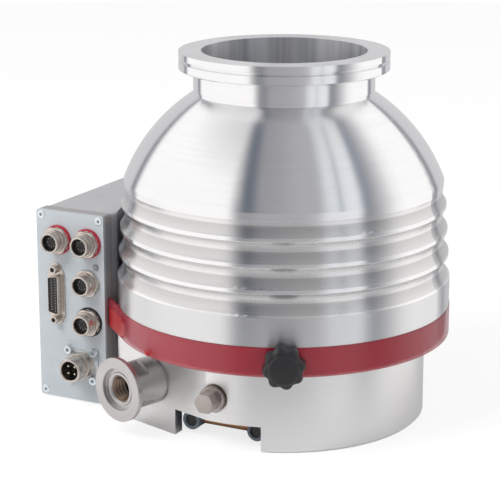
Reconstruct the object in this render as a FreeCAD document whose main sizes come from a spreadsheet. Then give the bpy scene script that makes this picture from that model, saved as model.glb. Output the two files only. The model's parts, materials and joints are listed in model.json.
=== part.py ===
import FreeCAD, Part
import math
import os

import Sketcher
from FreeCAD import Placement, Rotation, Vector

# Turbomolecular pump with a bell-shaped housing, a drive box at its side and a vent valve.
# The pump axis is Z. Z = 0 is the face that the base stands on, and the inlet looks up.
# The connectors of the drive box look towards -Y, and the box stands on the -X side.

# Driving sizes, in millimetres and degrees. The names that end in share or round are ratios.
SIZES = {
    # Housing: inlet flange, neck, dome, ridges and skirt
    "pump_height": 229.3,
    "skirt_radius": 104.6,
    "skirt_height": 17.7,
    "skirt_wall": 16.6,
    "inlet_flange_radius": 65.0,
    "inlet_rim_upper": 3.9,
    "inlet_groove_width": 2.0,
    "inlet_groove_depth": 2.2,
    "inlet_flange_thickness": 12.0,
    "inlet_chamfer": 2.4,
    "inlet_height": 25.9,
    "neck_inset": 9.0,
    "neck_wall": 5.0,
    "neck_relief": 0.6,
    "neck_relief_height": 2.0,
    "dome_inset": 5.0,
    "dome_drop": 79.0,
    "dome_curve": 110.7,
    "dome_land": 4.6,
    "dome_land_taper": 0.2,
    "dome_wall": 7.0,
    "ridge_count_share": 3.73,
    "ridge_land": 2.0,
    "ridge_step": 1.05,
    "ridge_curve_round": 0.638,
    "shoulder_width": 6.0,
    "shoulder_drop": 70.0,
    # Base: cylinder, flange, chamber, skirt and the openings in it
    "base_height": 53.0,
    "base_edge": 1.5,
    "base_wall": 13.75,
    "base_flange_overhang": 12.75,
    "base_flange_thickness": 18.3,
    "foot_width": 9.75,
    "recess_height": 17.0,
    "floor_thickness": 7.0,
    "boss_radius": 34.0,
    "boss_bottom": 5.0,
    "reservoir_radius": 20.0,
    "reservoir_top": 12.0,
    "opening_left": 33.2,
    "opening_right": 27.9,
    "opening_height": 16.4,
    "opening_depth": 30.0,
    "foot_hole_radius": 2.5,
    "foot_hole_depth": 12.0,
    "foot_hole_count": 4,
    # Port block, whose flat faces the port azimuth
    "port_azimuth": 253.0,
    "flat_inset": 2.15,
    "flat_margin": 30.6,
    "flat_corner": 6.0,
    "block_back_width": 16.6,
    "block_back_drop": 16.1,
    "block_root_width": 8.7,
    "block_root_drop": 19.4,
    # Fore-vacuum flange on the flat
    "port_offset": 29.2,
    "port_drop": 22.3,
    "port_length": 28.3,
    "port_tube_radius": 14.75,
    "port_flange_radius": 20.0,
    "port_rim": 3.0,
    "port_taper": 1.9,
    "port_recess_radius": 13.0,
    "port_recess_depth": 6.3,
    "port_ring_radius": 9.65,
    "port_ring_drop": 2.6,
    "port_bore": 6.2,
    "port_passage": 5.5,
    "port_flat_width": 26.0,
    "port_flat_start": 11.5,
    "port_seal_radius": 11.0,
    "port_seal_width": 2.0,
    "port_seal_depth": 1.6,
    # Purge plug in the front of the base
    "plug_offset": -1.7,
    "plug_drop": 21.5,
    "plug_seat_depth": 1.25,
    "plug_seat_radius": 9.2,
    "plug_collar_radius": 8.0,
    "plug_collar": 4.4,
    "plug_hex": 11.6,
    "plug_head": 8.9,
    "plug_thread_radius": 4.8,
    "plug_thread": 10.0,
    "washer_thickness": 1.2,
    # Cooling connectors in the opening of the base
    "cooling_left": -25.0,
    "cooling_right": 19.5,
    "cooling_inset": 13.75,
    "cooling_length": 16.0,
    "cooling_height": 8.8,
    "cooling_radius": 6.0,
    "cooling_edge": 0.5,
    "cooling_bore": 3.85,
    "cooling_lug": 10.0,
    "cooling_lug_width": 11.0,
    "cooling_plug": 7.0,
    "cooling_plug_recess": 1.2,
    "pipe_radius": 3.2,
    # Vent valve: knob, screw and seal
    "vent_azimuth": 296.7,
    "vent_lift": 9.0,
    "vent_screw_radius": 4.8,
    "vent_seat_radius": 7.0,
    "vent_seat_depth": 4.5,
    "vent_seal_thickness": 1.6,
    "vent_screw_length": 26.0,
    "vent_gap": 0.2,
    "knob_gap": 1.5,
    "knob_radius": 12.75,
    "knob_thickness": 12.0,
    "knob_lobes": 8,
    "knob_valley_radius": 3.4,
    "knob_valley_centre": 14.3,
    "knob_edge": 1.6,
    "knob_hub_radius": 7.6,
    "knob_hub": 1.0,
    # Trim band round the joint of base and housing
    "band_step": 0.4,
    "band_thickness": 2.0,
    "band_gap": 0.5,
    "band_lift": 0.2,
    "band_arc": 265.0,
    "band_hole_radius": 8.4,
    "clip_length": 11.0,
    "clip_height": 13.0,
    "clip_depth": 3.0,
    "clip_nub_length": 3.6,
    "clip_nub_height": 9.0,
    "clip_nub_depth": 1.8,
    "clip_lift": 6.4,
    "clip_setback": 2.0,
    "peg_azimuth": 115.4,
    "peg_radius": 1.8,
    "peg_lift": 2.2,
    "peg_depth": 4.0,
    # Screws and seal between base and housing
    "joint_screw_count": 8,
    "joint_screw_inset": 5.0,
    "joint_screw_radius": 2.0,
    "joint_screw_head": 3.5,
    "joint_screw_head_height": 4.0,
    "joint_screw_sink": 1.0,
    "joint_screw_grip": 7.7,
    "joint_screw_socket": 1.6,
    "joint_seal_offset": 4.0,
    "joint_seal_width": 2.8,
    "joint_seal_depth": 2.0,
    # Clearances, and how far a cutting tool runs past the face that it enters
    "running_clearance": 0.05,
    "screw_clearance": 0.3,
    "thread_margin": 3.0,
    "tool_margin": 1.0,
    # Bladed stages: gaps, radii, blade shape and each disc's share of the height
    "stage_gap": 1.0,
    "tip_gap": 4.0,
    "spacer_width": 3.0,
    "stack_clearance": 0.05,
    "star_height": 4.0,
    "sleeve_radius": 20.0,
    "stator_bore": 21.0,
    "stator_rim": 2.4,
    "rotor_share_1": 12,
    "rotor_share_2": 10,
    "rotor_share_3": 8,
    "rotor_share_4": 7,
    "rotor_share_5": 6,
    "stator_share_1": 8,
    "stator_share_2": 7,
    "stator_share_3": 6,
    "stator_share_4": 5,
    "stator_share_5": 5,
    "hub_radius_1": 30.0,
    "hub_radius_2": 35.0,
    "hub_radius_3": 40.0,
    "hub_radius_4": 44.0,
    "hub_radius_5": 47.0,
    "blade_angle_1": 42.0,
    "blade_angle_2": 37.0,
    "blade_angle_3": 32.0,
    "blade_angle_4": 27.0,
    "blade_angle_5": 23.0,
    "blade_count_1": 20,
    "blade_count_2": 24,
    "blade_count_3": 26,
    "blade_count_4": 28,
    "blade_count_5": 30,
    "blade_thickness": 1.4,
    "blade_root": 1.0,
    # Shaft, drag stage, motor and bearings
    "shaft_radius": 14.0,
    "shaft_step_drop": 5.3,
    "drive_radius": 9.0,
    "spindle_radius": 4.0,
    "cone_radius": 5.5,
    "cone_bottom": 7.5,
    "cone_top": 13.0,
    "drag_web": 4.0,
    "drag_stator_width": 13.0,
    "drag_wall": 2.0,
    "drag_foot_gap": 6.0,
    "drag_gap": 1.0,
    "drag_stator_drop": 3.3,
    "motor_magnet_radius": 15.0,
    "motor_magnet_inset": 3.0,
    "motor_bore": 16.0,
    "motor_radius": 36.0,
    "motor_clearance": 14.0,
    "bearing_bottom": 15.0,
    "bearing_width": 7.0,
    "bearing_radius": 11.0,
    "bearing_race": 2.0,
    "bearing_cage": 1.4,
    "bearing_cage_inset": 1.0,
    "magnet_seat": 12.0,
    "magnet_inner_radius": 9.0,
    "magnet_pin_radius": 5.0,
    "magnet_stator_radius": 8.0,
    "magnet_length": 14.0,
    "magnet_bore_depth": 18.0,
    "star_hub_radius": 13.0,
    "star_hub_rise": 2.0,
    "star_arm_width": 7.0,
    "star_arm_root": 2.0,
    "star_arm_azimuth": 30.0,
    "star_arm_count": 3,
    # Fluid reservoir and bottom cover
    "felt_bore": 6.0,
    "cover_inset": 6.0,
    "cover_thickness": 3.0,
    "cover_screw_inset": 3.5,
    "cover_screw_count": 4,
    "cover_screw_radius": 1.5,
    "cover_screw_head": 2.8,
    "cover_screw_length": 9.0,
    # Drive box: panel, frame and case
    "box_tuck": 7.0,
    "box_width": 49.8,
    "box_bottom": 0.8,
    "box_height": 124.2,
    "panel_front": 57.0,
    "panel_thickness": 2.0,
    "panel_corner": 2.0,
    "frame_depth": 8.0,
    "frame_wall": 3.0,
    "case_inset": 0.6,
    "case_rear": 60.0,
    "case_wall": 3.0,
    "case_neck": 6.4,
    "case_gap": 0.6,
    "bridge_width": 48.0,
    "bridge_drop": 5.0,
    "bridge_height": 29.0,
    "feed_radius": 8.0,
    "feed_reach": 6.0,
    "feed_setback": 2.0,
    "case_screw_radius": 2.5,
    "case_screw_head": 4.25,
    "case_screw_head_height": 5.0,
    "case_screw_length": 14.0,
    "case_screw_side": 12.0,
    "case_screw_end": 11.0,
    "panel_screw_inset": 3.5,
    "panel_screw_head": 2.4,
    "panel_screw_radius": 1.3,
    "panel_screw_length": 7.0,
    "board_thickness": 1.6,
    "board_offset": 19.0,
    "board_margin": 12.0,
    "board_post_radius": 3.0,
    "board_post_inset": 2.0,
    # Connectors: their places as shares of the panel's width and height
    "round_one_width_share": 0.3273,
    "round_two_width_share": 0.7691,
    "round_three_width_share": 0.751,
    "round_four_width_share": 0.761,
    "round_one_height_share": 0.851,
    "round_three_height_share": 0.6417,
    "round_four_height_share": 0.434,
    "round_barrel": 6.6,
    "round_bore": 5.1,
    "round_reach": 10.0,
    "round_nut": 9.0,
    "round_nut_thickness": 3.0,
    "round_tail_gap": 1.0,
    "round_insert_drop": 2.0,
    "ring_radius": 9.5,
    "ring_thickness": 1.6,
    "gasket_radius": 9.6,
    "gasket_thickness": 0.8,
    "service_width_share": 0.2871,
    "service_height_share": 0.5628,
    "service_shell_width": 8.0,
    "service_shell_length": 26.0,
    "service_shell_wall": 0.8,
    "service_reach": 5.5,
    "service_mouth": 1.0,
    "service_flange_width": 12.5,
    "service_flange_length": 40.0,
    "service_flange": 1.0,
    "service_taper": 10.0,
    "service_tail_gap": 2.0,
    "jack_pitch": 33.3,
    "jack_hex": 4.9,
    "jack_length": 4.6,
    "jack_bore": 1.3,
    "jack_tail": 5.0,
    "lens_width_share": 0.8795,
    "lens_height_share": 0.7295,
    "lens_radius": 1.9,
    "lens_reach": 1.0,
    "power_width_share": 0.6486,
    "power_height_share": 0.19968,
    "power_radius": 8.0,
    "power_bore": 6.4,
    "power_reach": 16.5,
    "power_floor": 5.0,
    "power_plate": 24.0,
    "power_plate_thickness": 1.6,
    "power_tail_gap": 0.5,
    "power_screw_pitch": 18.4,
    "power_screw_head": 2.9,
    "power_screw_head_height": 2.0,
    "power_screw_radius": 1.4,
    "power_screw_length": 6.0,
    "power_pin_count": 4,
    "power_pin_radius": 0.9,
    "power_pin_circle": 3.3,
    "power_pin_length": 7.0,
}
STAGE_COUNT = 5
STAGES = range(1, STAGE_COUNT + 1)
DISC_KINDS = ("rotor", "stator")

# Sizes that follow from the driving ones
RELATED = {
    "band_outer_radius": lambda s: s.skirt_radius + s.band_step,
    "base_flange_radius": lambda s: s.band_outer_radius - s.band_thickness - s.band_gap,
    "base_radius": lambda s: s.base_flange_radius - s.base_flange_overhang,
    "chamber_radius": lambda s: s.base_radius - s.base_wall,
    "skirt_inner_radius": lambda s: s.base_radius - s.foot_width,
    "chamber_floor": lambda s: s.recess_height + s.floor_thickness,
    "joint_height": lambda s: s.base_height + s.base_flange_thickness,
    "skirt_edge": lambda s: s.joint_height + s.skirt_height,
    "stack_bore": lambda s: s.skirt_radius - s.skirt_wall,
    "shoulder_radius": lambda s: s.stack_bore - s.shoulder_width,
    "neck_radius": lambda s: s.inlet_flange_radius - s.neck_inset,
    "inlet_bore": lambda s: s.neck_radius - s.neck_wall,
    "dome_top": lambda s: s.pump_height - s.inlet_height,
    "dome_edge_radius": lambda s: s.skirt_radius - s.dome_inset,
    "dome_edge_height": lambda s: s.pump_height - s.dome_drop,
    "ridge_pitch": lambda s: (s.dome_edge_height - s.dome_land - s.skirt_edge) / s.ridge_count_share,
    "ridge_curve": lambda s: s.ridge_pitch * s.ridge_curve_round,
    "flat_distance": lambda s: s.base_radius - s.flat_inset,
    "flat_reach": lambda s: s.port_offset + s.flat_margin,
    "block_back_reach": lambda s: s.flat_reach + s.block_back_width,
    "block_back_distance": lambda s: s.flat_distance - s.block_back_drop,
    "block_root_reach": lambda s: s.block_back_reach - s.block_root_width,
    "block_root_distance": lambda s: s.block_back_distance - s.block_root_drop,
    "port_height": lambda s: s.base_height - s.port_drop,
    "plug_seat": lambda s: s.base_radius - s.plug_seat_depth,
    "plug_height": lambda s: s.base_height - s.plug_drop,
    "cooling_front": lambda s: s.base_radius - s.cooling_inset,
    "pipe_front": lambda s: s.cooling_front - s.cooling_length / 2,
    "vent_height": lambda s: s.base_height + s.vent_lift,
    "knob_back": lambda s: s.band_outer_radius + s.knob_gap,
    "band_bottom": lambda s: s.base_height + s.band_lift,
    "band_height": lambda s: s.base_flange_thickness - s.band_lift * 2,
    "clip_middle": lambda s: s.band_bottom + s.clip_lift,
    "peg_height": lambda s: s.band_bottom + s.peg_lift,
    "joint_screw_circle": lambda s: s.base_flange_radius - s.joint_screw_inset,
    "joint_screw_length": lambda s: s.base_flange_thickness + s.joint_screw_grip,
    "joint_seal_radius": lambda s: s.stack_bore + s.joint_seal_offset,
    "tip_radius": lambda s: s.stack_bore - s.tip_gap,
    "spacer_inner_radius": lambda s: s.stack_bore - s.spacer_width,
    "blade_zone": lambda s: (s.pump_height - s.shoulder_drop - s.joint_height - s.star_height
                             - s.stage_gap * (STAGE_COUNT * 2)),
    "share_sum": lambda s: sum(stage("%s_share" % kind, number) for kind in DISC_KINDS
                               for number in STAGES),
    "shaft_step": lambda s: s.joint_height - s.shaft_step_drop,
    "drag_outer_radius": lambda s: s.chamber_radius - s.drag_stator_width - s.drag_gap,
    "drag_bottom": lambda s: s.chamber_floor + s.drag_foot_gap,
    "drag_stator_height": lambda s: s.joint_height - s.drag_stator_drop - s.drag_bottom,
    "motor_height": lambda s: s.shaft_step - s.chamber_floor - s.motor_clearance,
    "cover_radius": lambda s: s.boss_radius - s.cover_inset,
    "cover_screw_circle": lambda s: s.cover_radius - s.cover_screw_inset,
    "case_relief_radius": lambda s: s.band_outer_radius + s.case_gap,
    "case_inner_wall": lambda s: s.case_relief_radius + s.case_neck,
    "box_inner_face": lambda s: s.skirt_radius - s.box_tuck,
    "box_top": lambda s: s.box_bottom + s.box_height,
    "bridge_top": lambda s: s.base_height - s.bridge_drop,
    "bridge_bottom": lambda s: s.bridge_top - s.bridge_height,
    "feed_end": lambda s: s.case_inner_wall + s.feed_reach,
    "case_screw_width": lambda s: s.bridge_width - s.case_screw_side,
    "case_screw_pitch": lambda s: s.bridge_height - s.case_screw_end,
    "board_plane": lambda s: s.case_inner_wall + s.board_offset,
    "round_left_one": lambda s: s.box_width * s.round_one_width_share,
    "round_left_two": lambda s: s.box_width * s.round_two_width_share,
    "round_left_three": lambda s: s.box_width * s.round_three_width_share,
    "round_left_four": lambda s: s.box_width * s.round_four_width_share,
    "round_height_one": lambda s: s.box_bottom + s.box_height * s.round_one_height_share,
    "round_height_three": lambda s: s.box_bottom + s.box_height * s.round_three_height_share,
    "round_height_four": lambda s: s.box_bottom + s.box_height * s.round_four_height_share,
    "round_tail": lambda s: s.panel_thickness + s.frame_depth - s.round_tail_gap,
    "service_left": lambda s: s.box_width * s.service_width_share,
    "service_height": lambda s: s.box_bottom + s.box_height * s.service_height_share,
    "service_body": lambda s: s.panel_thickness + s.frame_depth - s.service_tail_gap,
    "lens_left": lambda s: s.box_width * s.lens_width_share,
    "lens_height": lambda s: s.box_bottom + s.box_height * s.lens_height_share,
    "power_left": lambda s: s.box_width * s.power_width_share,
    "power_height": lambda s: s.box_bottom + s.box_height * s.power_height_share,
    "power_tail": lambda s: s.panel_thickness + s.frame_depth - s.power_tail_gap,
}

doc = FreeCAD.newDocument("turbo_pump")
sheet = doc.addObject("Spreadsheet::Sheet", "sizes")
for row, (alias, number) in enumerate(SIZES.items(), start=1):
    sheet.set("A%d" % row, alias)
    sheet.set("B%d" % row, str(number))
    sheet.setAlias("B%d" % row, alias)
doc.recompute()


class Dim:
    """A size that knows its number and the sheet expression that it comes from."""

    def __init__(self, number, text):
        self.number = number
        self.text = text

    def __add__(self, other):
        other = dim(other)
        return Dim(self.number + other.number, "(%s + %s)" % (self.text, other.text))

    def __sub__(self, other):
        other = dim(other)
        return Dim(self.number - other.number, "(%s - %s)" % (self.text, other.text))

    def __mul__(self, other):
        other = dim(other)
        return Dim(self.number * other.number, "(%s * %s)" % (self.text, other.text))

    def __truediv__(self, other):
        other = dim(other)
        return Dim(self.number / other.number, "(%s / %s)" % (self.text, other.text))

    def __neg__(self):
        return Dim(-self.number, "(0 - %s)" % self.text)

    def __radd__(self, other):
        return dim(other) + self

    def __rsub__(self, other):
        return dim(other) - self

    def __rmul__(self, other):
        return dim(other) * self


class Sheet:
    """Gives each size by its name as a Dim: a driving one, or one that follows from them."""

    def __getattr__(self, alias):
        if alias in RELATED:
            return RELATED[alias](self)
        return Dim(float(sheet.get(alias)), "sizes." + alias)


def dim(value):
    return value if isinstance(value, Dim) else Dim(float(value), repr(float(value)))


def sine(angle):
    return Dim(math.sin(math.radians(angle.number)), "sin(%s)" % angle.text)


def cosine(angle):
    return Dim(math.cos(math.radians(angle.number)), "cos(%s)" % angle.text)


def tangent(angle):
    return Dim(math.tan(math.radians(angle.number)), "tan(%s)" % angle.text)


def root(value):
    return Dim(math.sqrt(value.number), "sqrt(%s)" % value.text)


s = Sheet()
UP = Vector(0, 0, 1)
FRONT = Vector(0, -1, 0)
RIGHT = Vector(1, 0, 0)
NEAR = 0.01
nodes = {}


def compass(azimuth):
    """Unit vector in plan, with azimuth in degrees from +X."""
    return Vector(math.cos(math.radians(azimuth)), math.sin(math.radians(azimuth)), 0)


def node(name, item):
    item.Label = name
    nodes[name] = item
    return item


def bind(item, **sizes):
    for prop, size in sizes.items():
        item.setExpression(prop, dim(size).text)


def place(item, spot, direction=UP, turn=None):
    """Puts the item's own Z along direction, with its origin at spot."""
    rotation = turn if turn is not None else Rotation(UP, direction)
    spot = [dim(c) for c in spot]
    item.Placement = Placement(Vector(*[c.number for c in spot]), rotation)
    for letter, c in zip("xyz", spot):
        item.setExpression("Placement.Base." + letter, c.text)
    return item


def rod(name, radius, length, spot=(0, 0, 0), direction=UP):
    item = doc.addObject("Part::Cylinder", name)
    bind(item, Radius=radius, Height=length)
    return place(item, spot, direction)


def block(name, low, size, turn=None):
    item = doc.addObject("Part::Box", name)
    bind(item, Length=size[0], Width=size[1], Height=size[2])
    return place(item, low, turn=turn)


def fuse(name, items):
    item = doc.addObject("Part::MultiFuse", name)
    item.Shapes = items
    item.Refine = True
    return item


def cut(name, base, tools):
    item = doc.addObject("Part::Cut", name)
    item.Base = base
    item.Tool = tools[0] if len(tools) == 1 else fuse(name + "_tools", tools)
    item.Refine = True
    return item


def common(name, first, second):
    item = doc.addObject("Part::Common", name)
    item.Base = first
    item.Tool = second
    return item


def group(name, source, placements):
    """One node of separate equal solids: copies of source at the placements."""
    doc.recompute()
    copies = []
    for spot in placements:
        copy = source.Shape.copy()
        copy.Placement = spot.multiply(copy.Placement)
        copies.append(copy)
    item = doc.addObject("Part::Feature", name)
    item.Shape = Part.makeCompound(copies)
    return item


def at(x, y, z, direction=UP):
    numbers = [dim(c).number for c in (x, y, z)]
    return Placement(Vector(*numbers), Rotation(UP, direction))


def arc_through(start, end, radius):
    """Arc of a signed radius: its centre is on the left of start-end where radius > 0."""
    chord = end - start
    middle = start + chord * 0.5
    rise = math.sqrt(max(radius * radius - chord.Length ** 2 / 4, 0.0))
    normal = Vector(-chord.y, chord.x, 0).normalize()
    centre = middle + normal * (rise if radius > 0 else -rise)
    first, last = (start, end) if radius > 0 else (end, start)
    angles = [math.atan2(p.y - centre.y, p.x - centre.x) for p in (first, last)]
    circle = Part.Circle(centre, UP, abs(radius))
    return Part.ArcOfCircle(circle, angles[0], angles[1])


def sketch(body, plane, loops, offset=None):
    """Closed loops of corners (x, y) or (x, y, radius), the last starting an arc."""
    item = body.newObject("Sketcher::SketchObject", body.Name + "_sketch")
    origin = [f for f in body.Origin.OriginFeatures if f.Role == plane][0]
    item.AttachmentSupport = (origin, [""])
    item.MapMode = "FlatFace"
    if offset is not None:
        item.setExpression("AttachmentOffset.Base.z", dim(offset).text)
    for loop in loops:
        add_loop(item, loop)
    return item


def add_loop(item, loop):
    first = item.GeometryCount
    corners = [Vector(dim(c[0]).number, dim(c[1]).number, 0) for c in loop]
    ends = []
    for index, corner in enumerate(loop):
        start, end = corners[index], corners[(index + 1) % len(loop)]
        if len(corner) == 3:
            radius = dim(corner[2])
            geometry = item.addGeometry(arc_through(start, end, radius.number))
            ends.append((1, 2) if radius.number > 0 else (2, 1))
            size = radius if radius.number > 0 else -radius
            constrain(item, ("Radius", geometry), size)
        else:
            item.addGeometry(Part.LineSegment(start, end))
            ends.append((1, 2))
    for index, corner in enumerate(loop):
        following = (index + 1) % len(loop)
        item.addConstraint(Sketcher.Constraint(
            "Coincident", first + index, ends[index][1], first + following, ends[following][0]))
        for kind, c in (("DistanceX", corner[0]), ("DistanceY", corner[1])):
            constrain(item, (kind, -1, 1, first + index, ends[index][0]), dim(c))


def constrain(item, what, size):
    index = item.addConstraint(Sketcher.Constraint(*what, size.number))
    if "sizes." in size.text:
        item.setExpression("Constraints[%d]" % index, size.text)


def circle_sketch(body, plane, x, y, radius, offset=None):
    item = sketch(body, plane, [], offset)
    x, y, radius = dim(x), dim(y), dim(radius)
    item.addGeometry(Part.Circle(Vector(x.number, y.number, 0), UP, radius.number))
    constrain(item, ("Radius", 0), radius)
    constrain(item, ("DistanceX", -1, 1, 0, 3), x)
    constrain(item, ("DistanceY", -1, 1, 0, 3), y)
    return item


def new_body(name):
    return doc.addObject("PartDesign::Body", name)


def revolve(body, loops):
    profile = sketch(body, "XZ_Plane", loops)
    feature = body.newObject("PartDesign::Revolution", body.Name + "_turned")
    feature.Profile = profile
    feature.ReferenceAxis = (profile, ["V_Axis"])
    feature.Angle = 360
    return feature


def turned(name, corners, spot=(0, 0, 0), direction=UP):
    """Turned piece whose profile has corners (radius, height along its axis)."""
    body = new_body(name)
    revolve(body, [corners])
    return place(body, spot, direction)


def pad(body, profile, length, reverse=False):
    feature = body.newObject("PartDesign::Pad", body.Name + "_pad")
    feature.Profile = profile
    bind(feature, Length=length)
    feature.Reversed = reverse
    return feature


def pocket(body, profile, length, reverse=False):
    feature = body.newObject("PartDesign::Pocket", body.Name + "_pocket")
    feature.Profile = profile
    bind(feature, Length=length)
    feature.Reversed = reverse
    return feature


def polar(body, feature, count):
    pattern = body.newObject("PartDesign::PolarPattern", body.Name + "_pattern")
    pattern.Originals = [feature]
    axis = [f for f in body.Origin.OriginFeatures if f.Role == "Z_Axis"][0]
    pattern.Axis = (axis, [""])
    pattern.Angle = 360
    bind(pattern, Occurrences=count)
    body.Tip = pattern
    return pattern


def ring(name, inner, outer, bottom, top):
    return turned(name, [(inner, bottom), (outer, bottom), (outer, top), (inner, top)])


def rounded(left, bottom, right, top, corner):
    """Rectangle with round corners, as corners for a sketch."""
    return [(left + corner, bottom), (right - corner, bottom, corner),
            (right, bottom + corner), (right, top - corner, corner),
            (right - corner, top), (left + corner, top, corner),
            (left, top - corner), (left, bottom + corner, corner)]


def rectangle(left, bottom, right, top):
    return [(left, bottom), (right, bottom), (right, top), (left, top)]


def hexagon(across):
    """Hexagon of a width across flats, centred on the sketch's origin."""
    reach = across / math.sqrt(3)
    return [(reach * math.cos(math.radians(60 * k)), reach * math.sin(math.radians(60 * k)))
            for k in range(6)]


def stage(size, number):
    return getattr(s, "%s_%d" % (size, number))


def stage_height(kind, number):
    """Height of a bladed disc: its share of the zone that the discs fill."""
    return s.blade_zone * stage(kind + "_share", number) / s.share_sum


# Heights of the stages, from the joint of base and housing up to the inlet
stator_bottom = {}
rotor_bottom = {}
level = s.joint_height
for number in reversed(STAGES):
    stator_bottom[number] = level
    rotor_bottom[number] = level + stage_height("stator", number) + s.stage_gap
    level = rotor_bottom[number] + stage_height("rotor", number) + s.stage_gap
star_bottom = level
shoulder_height = star_bottom + s.star_height


# Housing
def make_housing():
    flange_low = s.pump_height - s.inlet_flange_thickness
    groove_top = s.pump_height - s.inlet_rim_upper
    groove_low = groove_top - s.inlet_groove_width
    groove_radius = s.inlet_flange_radius - s.inlet_groove_depth
    relief_radius = s.neck_radius - s.neck_relief
    relief_top = s.dome_top + s.neck_relief_height
    outline = [
        (s.inlet_bore, s.pump_height),
        (s.inlet_bore, dome_inner_top(), -(s.dome_curve - s.dome_wall)),
        (s.shoulder_radius, shoulder_height), (s.stack_bore, shoulder_height),
        (s.stack_bore, s.joint_height), (s.skirt_radius, s.joint_height),
        (s.skirt_radius, s.skirt_edge, -s.ridge_curve)]
    for ridge in (1, 2, 3):
        radius = s.skirt_radius - s.ridge_step * ridge
        height = s.skirt_edge + s.ridge_pitch * ridge
        outline.append((radius, height - s.ridge_land / 2))
        outline.append((radius, height + s.ridge_land / 2, -s.ridge_curve))
    outline += [
        (s.dome_edge_radius - s.dome_land_taper, s.dome_edge_height - s.dome_land),
        (s.dome_edge_radius, s.dome_edge_height, s.dome_curve),
        (relief_radius, s.dome_top), (relief_radius, relief_top),
        (s.neck_radius, relief_top), (s.neck_radius, flange_low),
        (s.inlet_flange_radius - s.inlet_chamfer, flange_low),
        (s.inlet_flange_radius, flange_low + s.inlet_chamfer / 2),
        (s.inlet_flange_radius, groove_low), (groove_radius, groove_low),
        (groove_radius, groove_top), (s.inlet_flange_radius, groove_top),
        (s.inlet_flange_radius, s.pump_height)]
    blank = turned("housing_blank", outline)
    hole = rod("housing_thread", s.joint_screw_radius + s.running_clearance,
               s.joint_screw_grip + s.joint_screw_sink + s.thread_margin + s.tool_margin)
    holes = group("housing_threads", hole, [
        screw_place(angle, s.joint_height - s.tool_margin) for angle in screw_angles()])
    node("housing", cut("housing", blank, [holes]))


def dome_inner_top():
    return s.dome_top - s.dome_wall / 2


def screw_angles():
    count = int(s.joint_screw_count.number)
    return [360 / count * k for k in range(count)]


def screw_place(angle, height):
    spot = compass(angle) * s.joint_screw_circle.number
    return at(spot.x, spot.y, height)


# Base with port block, bridge to the drive box and lugs for the cooling connectors
port_out = compass(s.port_azimuth.number)
port_side = compass(s.port_azimuth.number - 90)
vent_out = compass(s.vent_azimuth.number)


def port_spot(distance):
    """Point on the fore-vacuum port's axis, at a distance from the pump axis along it."""
    azimuth, side = s.port_azimuth, s.port_azimuth - 90
    return (cosine(azimuth) * distance + cosine(side) * s.port_offset,
            sine(azimuth) * distance + sine(side) * s.port_offset, s.port_height)


def vent_spot(distance):
    return (cosine(s.vent_azimuth) * distance, sine(s.vent_azimuth) * distance, s.vent_height)


def make_port_block():
    body = new_body("port_block")
    corners = [(0, 0), (s.block_root_reach, s.block_root_distance),
               (s.block_back_reach, s.block_back_distance),
               (s.flat_reach, s.flat_distance), (0, s.flat_distance)]
    profile = sketch(body, "XY_Plane", [corners])
    solid = pad(body, profile, s.base_height)
    doc.recompute()
    corner = Vector(s.flat_reach.number, s.flat_distance.number, s.base_height.number / 2)
    edges = [k + 1 for k, edge in enumerate(solid.Shape.Edges)
             if (edge.CenterOfMass - corner).Length < NEAR]
    fillet = body.newObject("PartDesign::Fillet", "port_block_corner")
    fillet.Base = (solid, ["Edge%d" % k for k in edges])
    bind(fillet, Radius=s.flat_corner)
    body.Tip = fillet
    body.Placement = Placement(Vector(), Rotation(UP, s.port_azimuth.number - 90))
    return body


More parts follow.
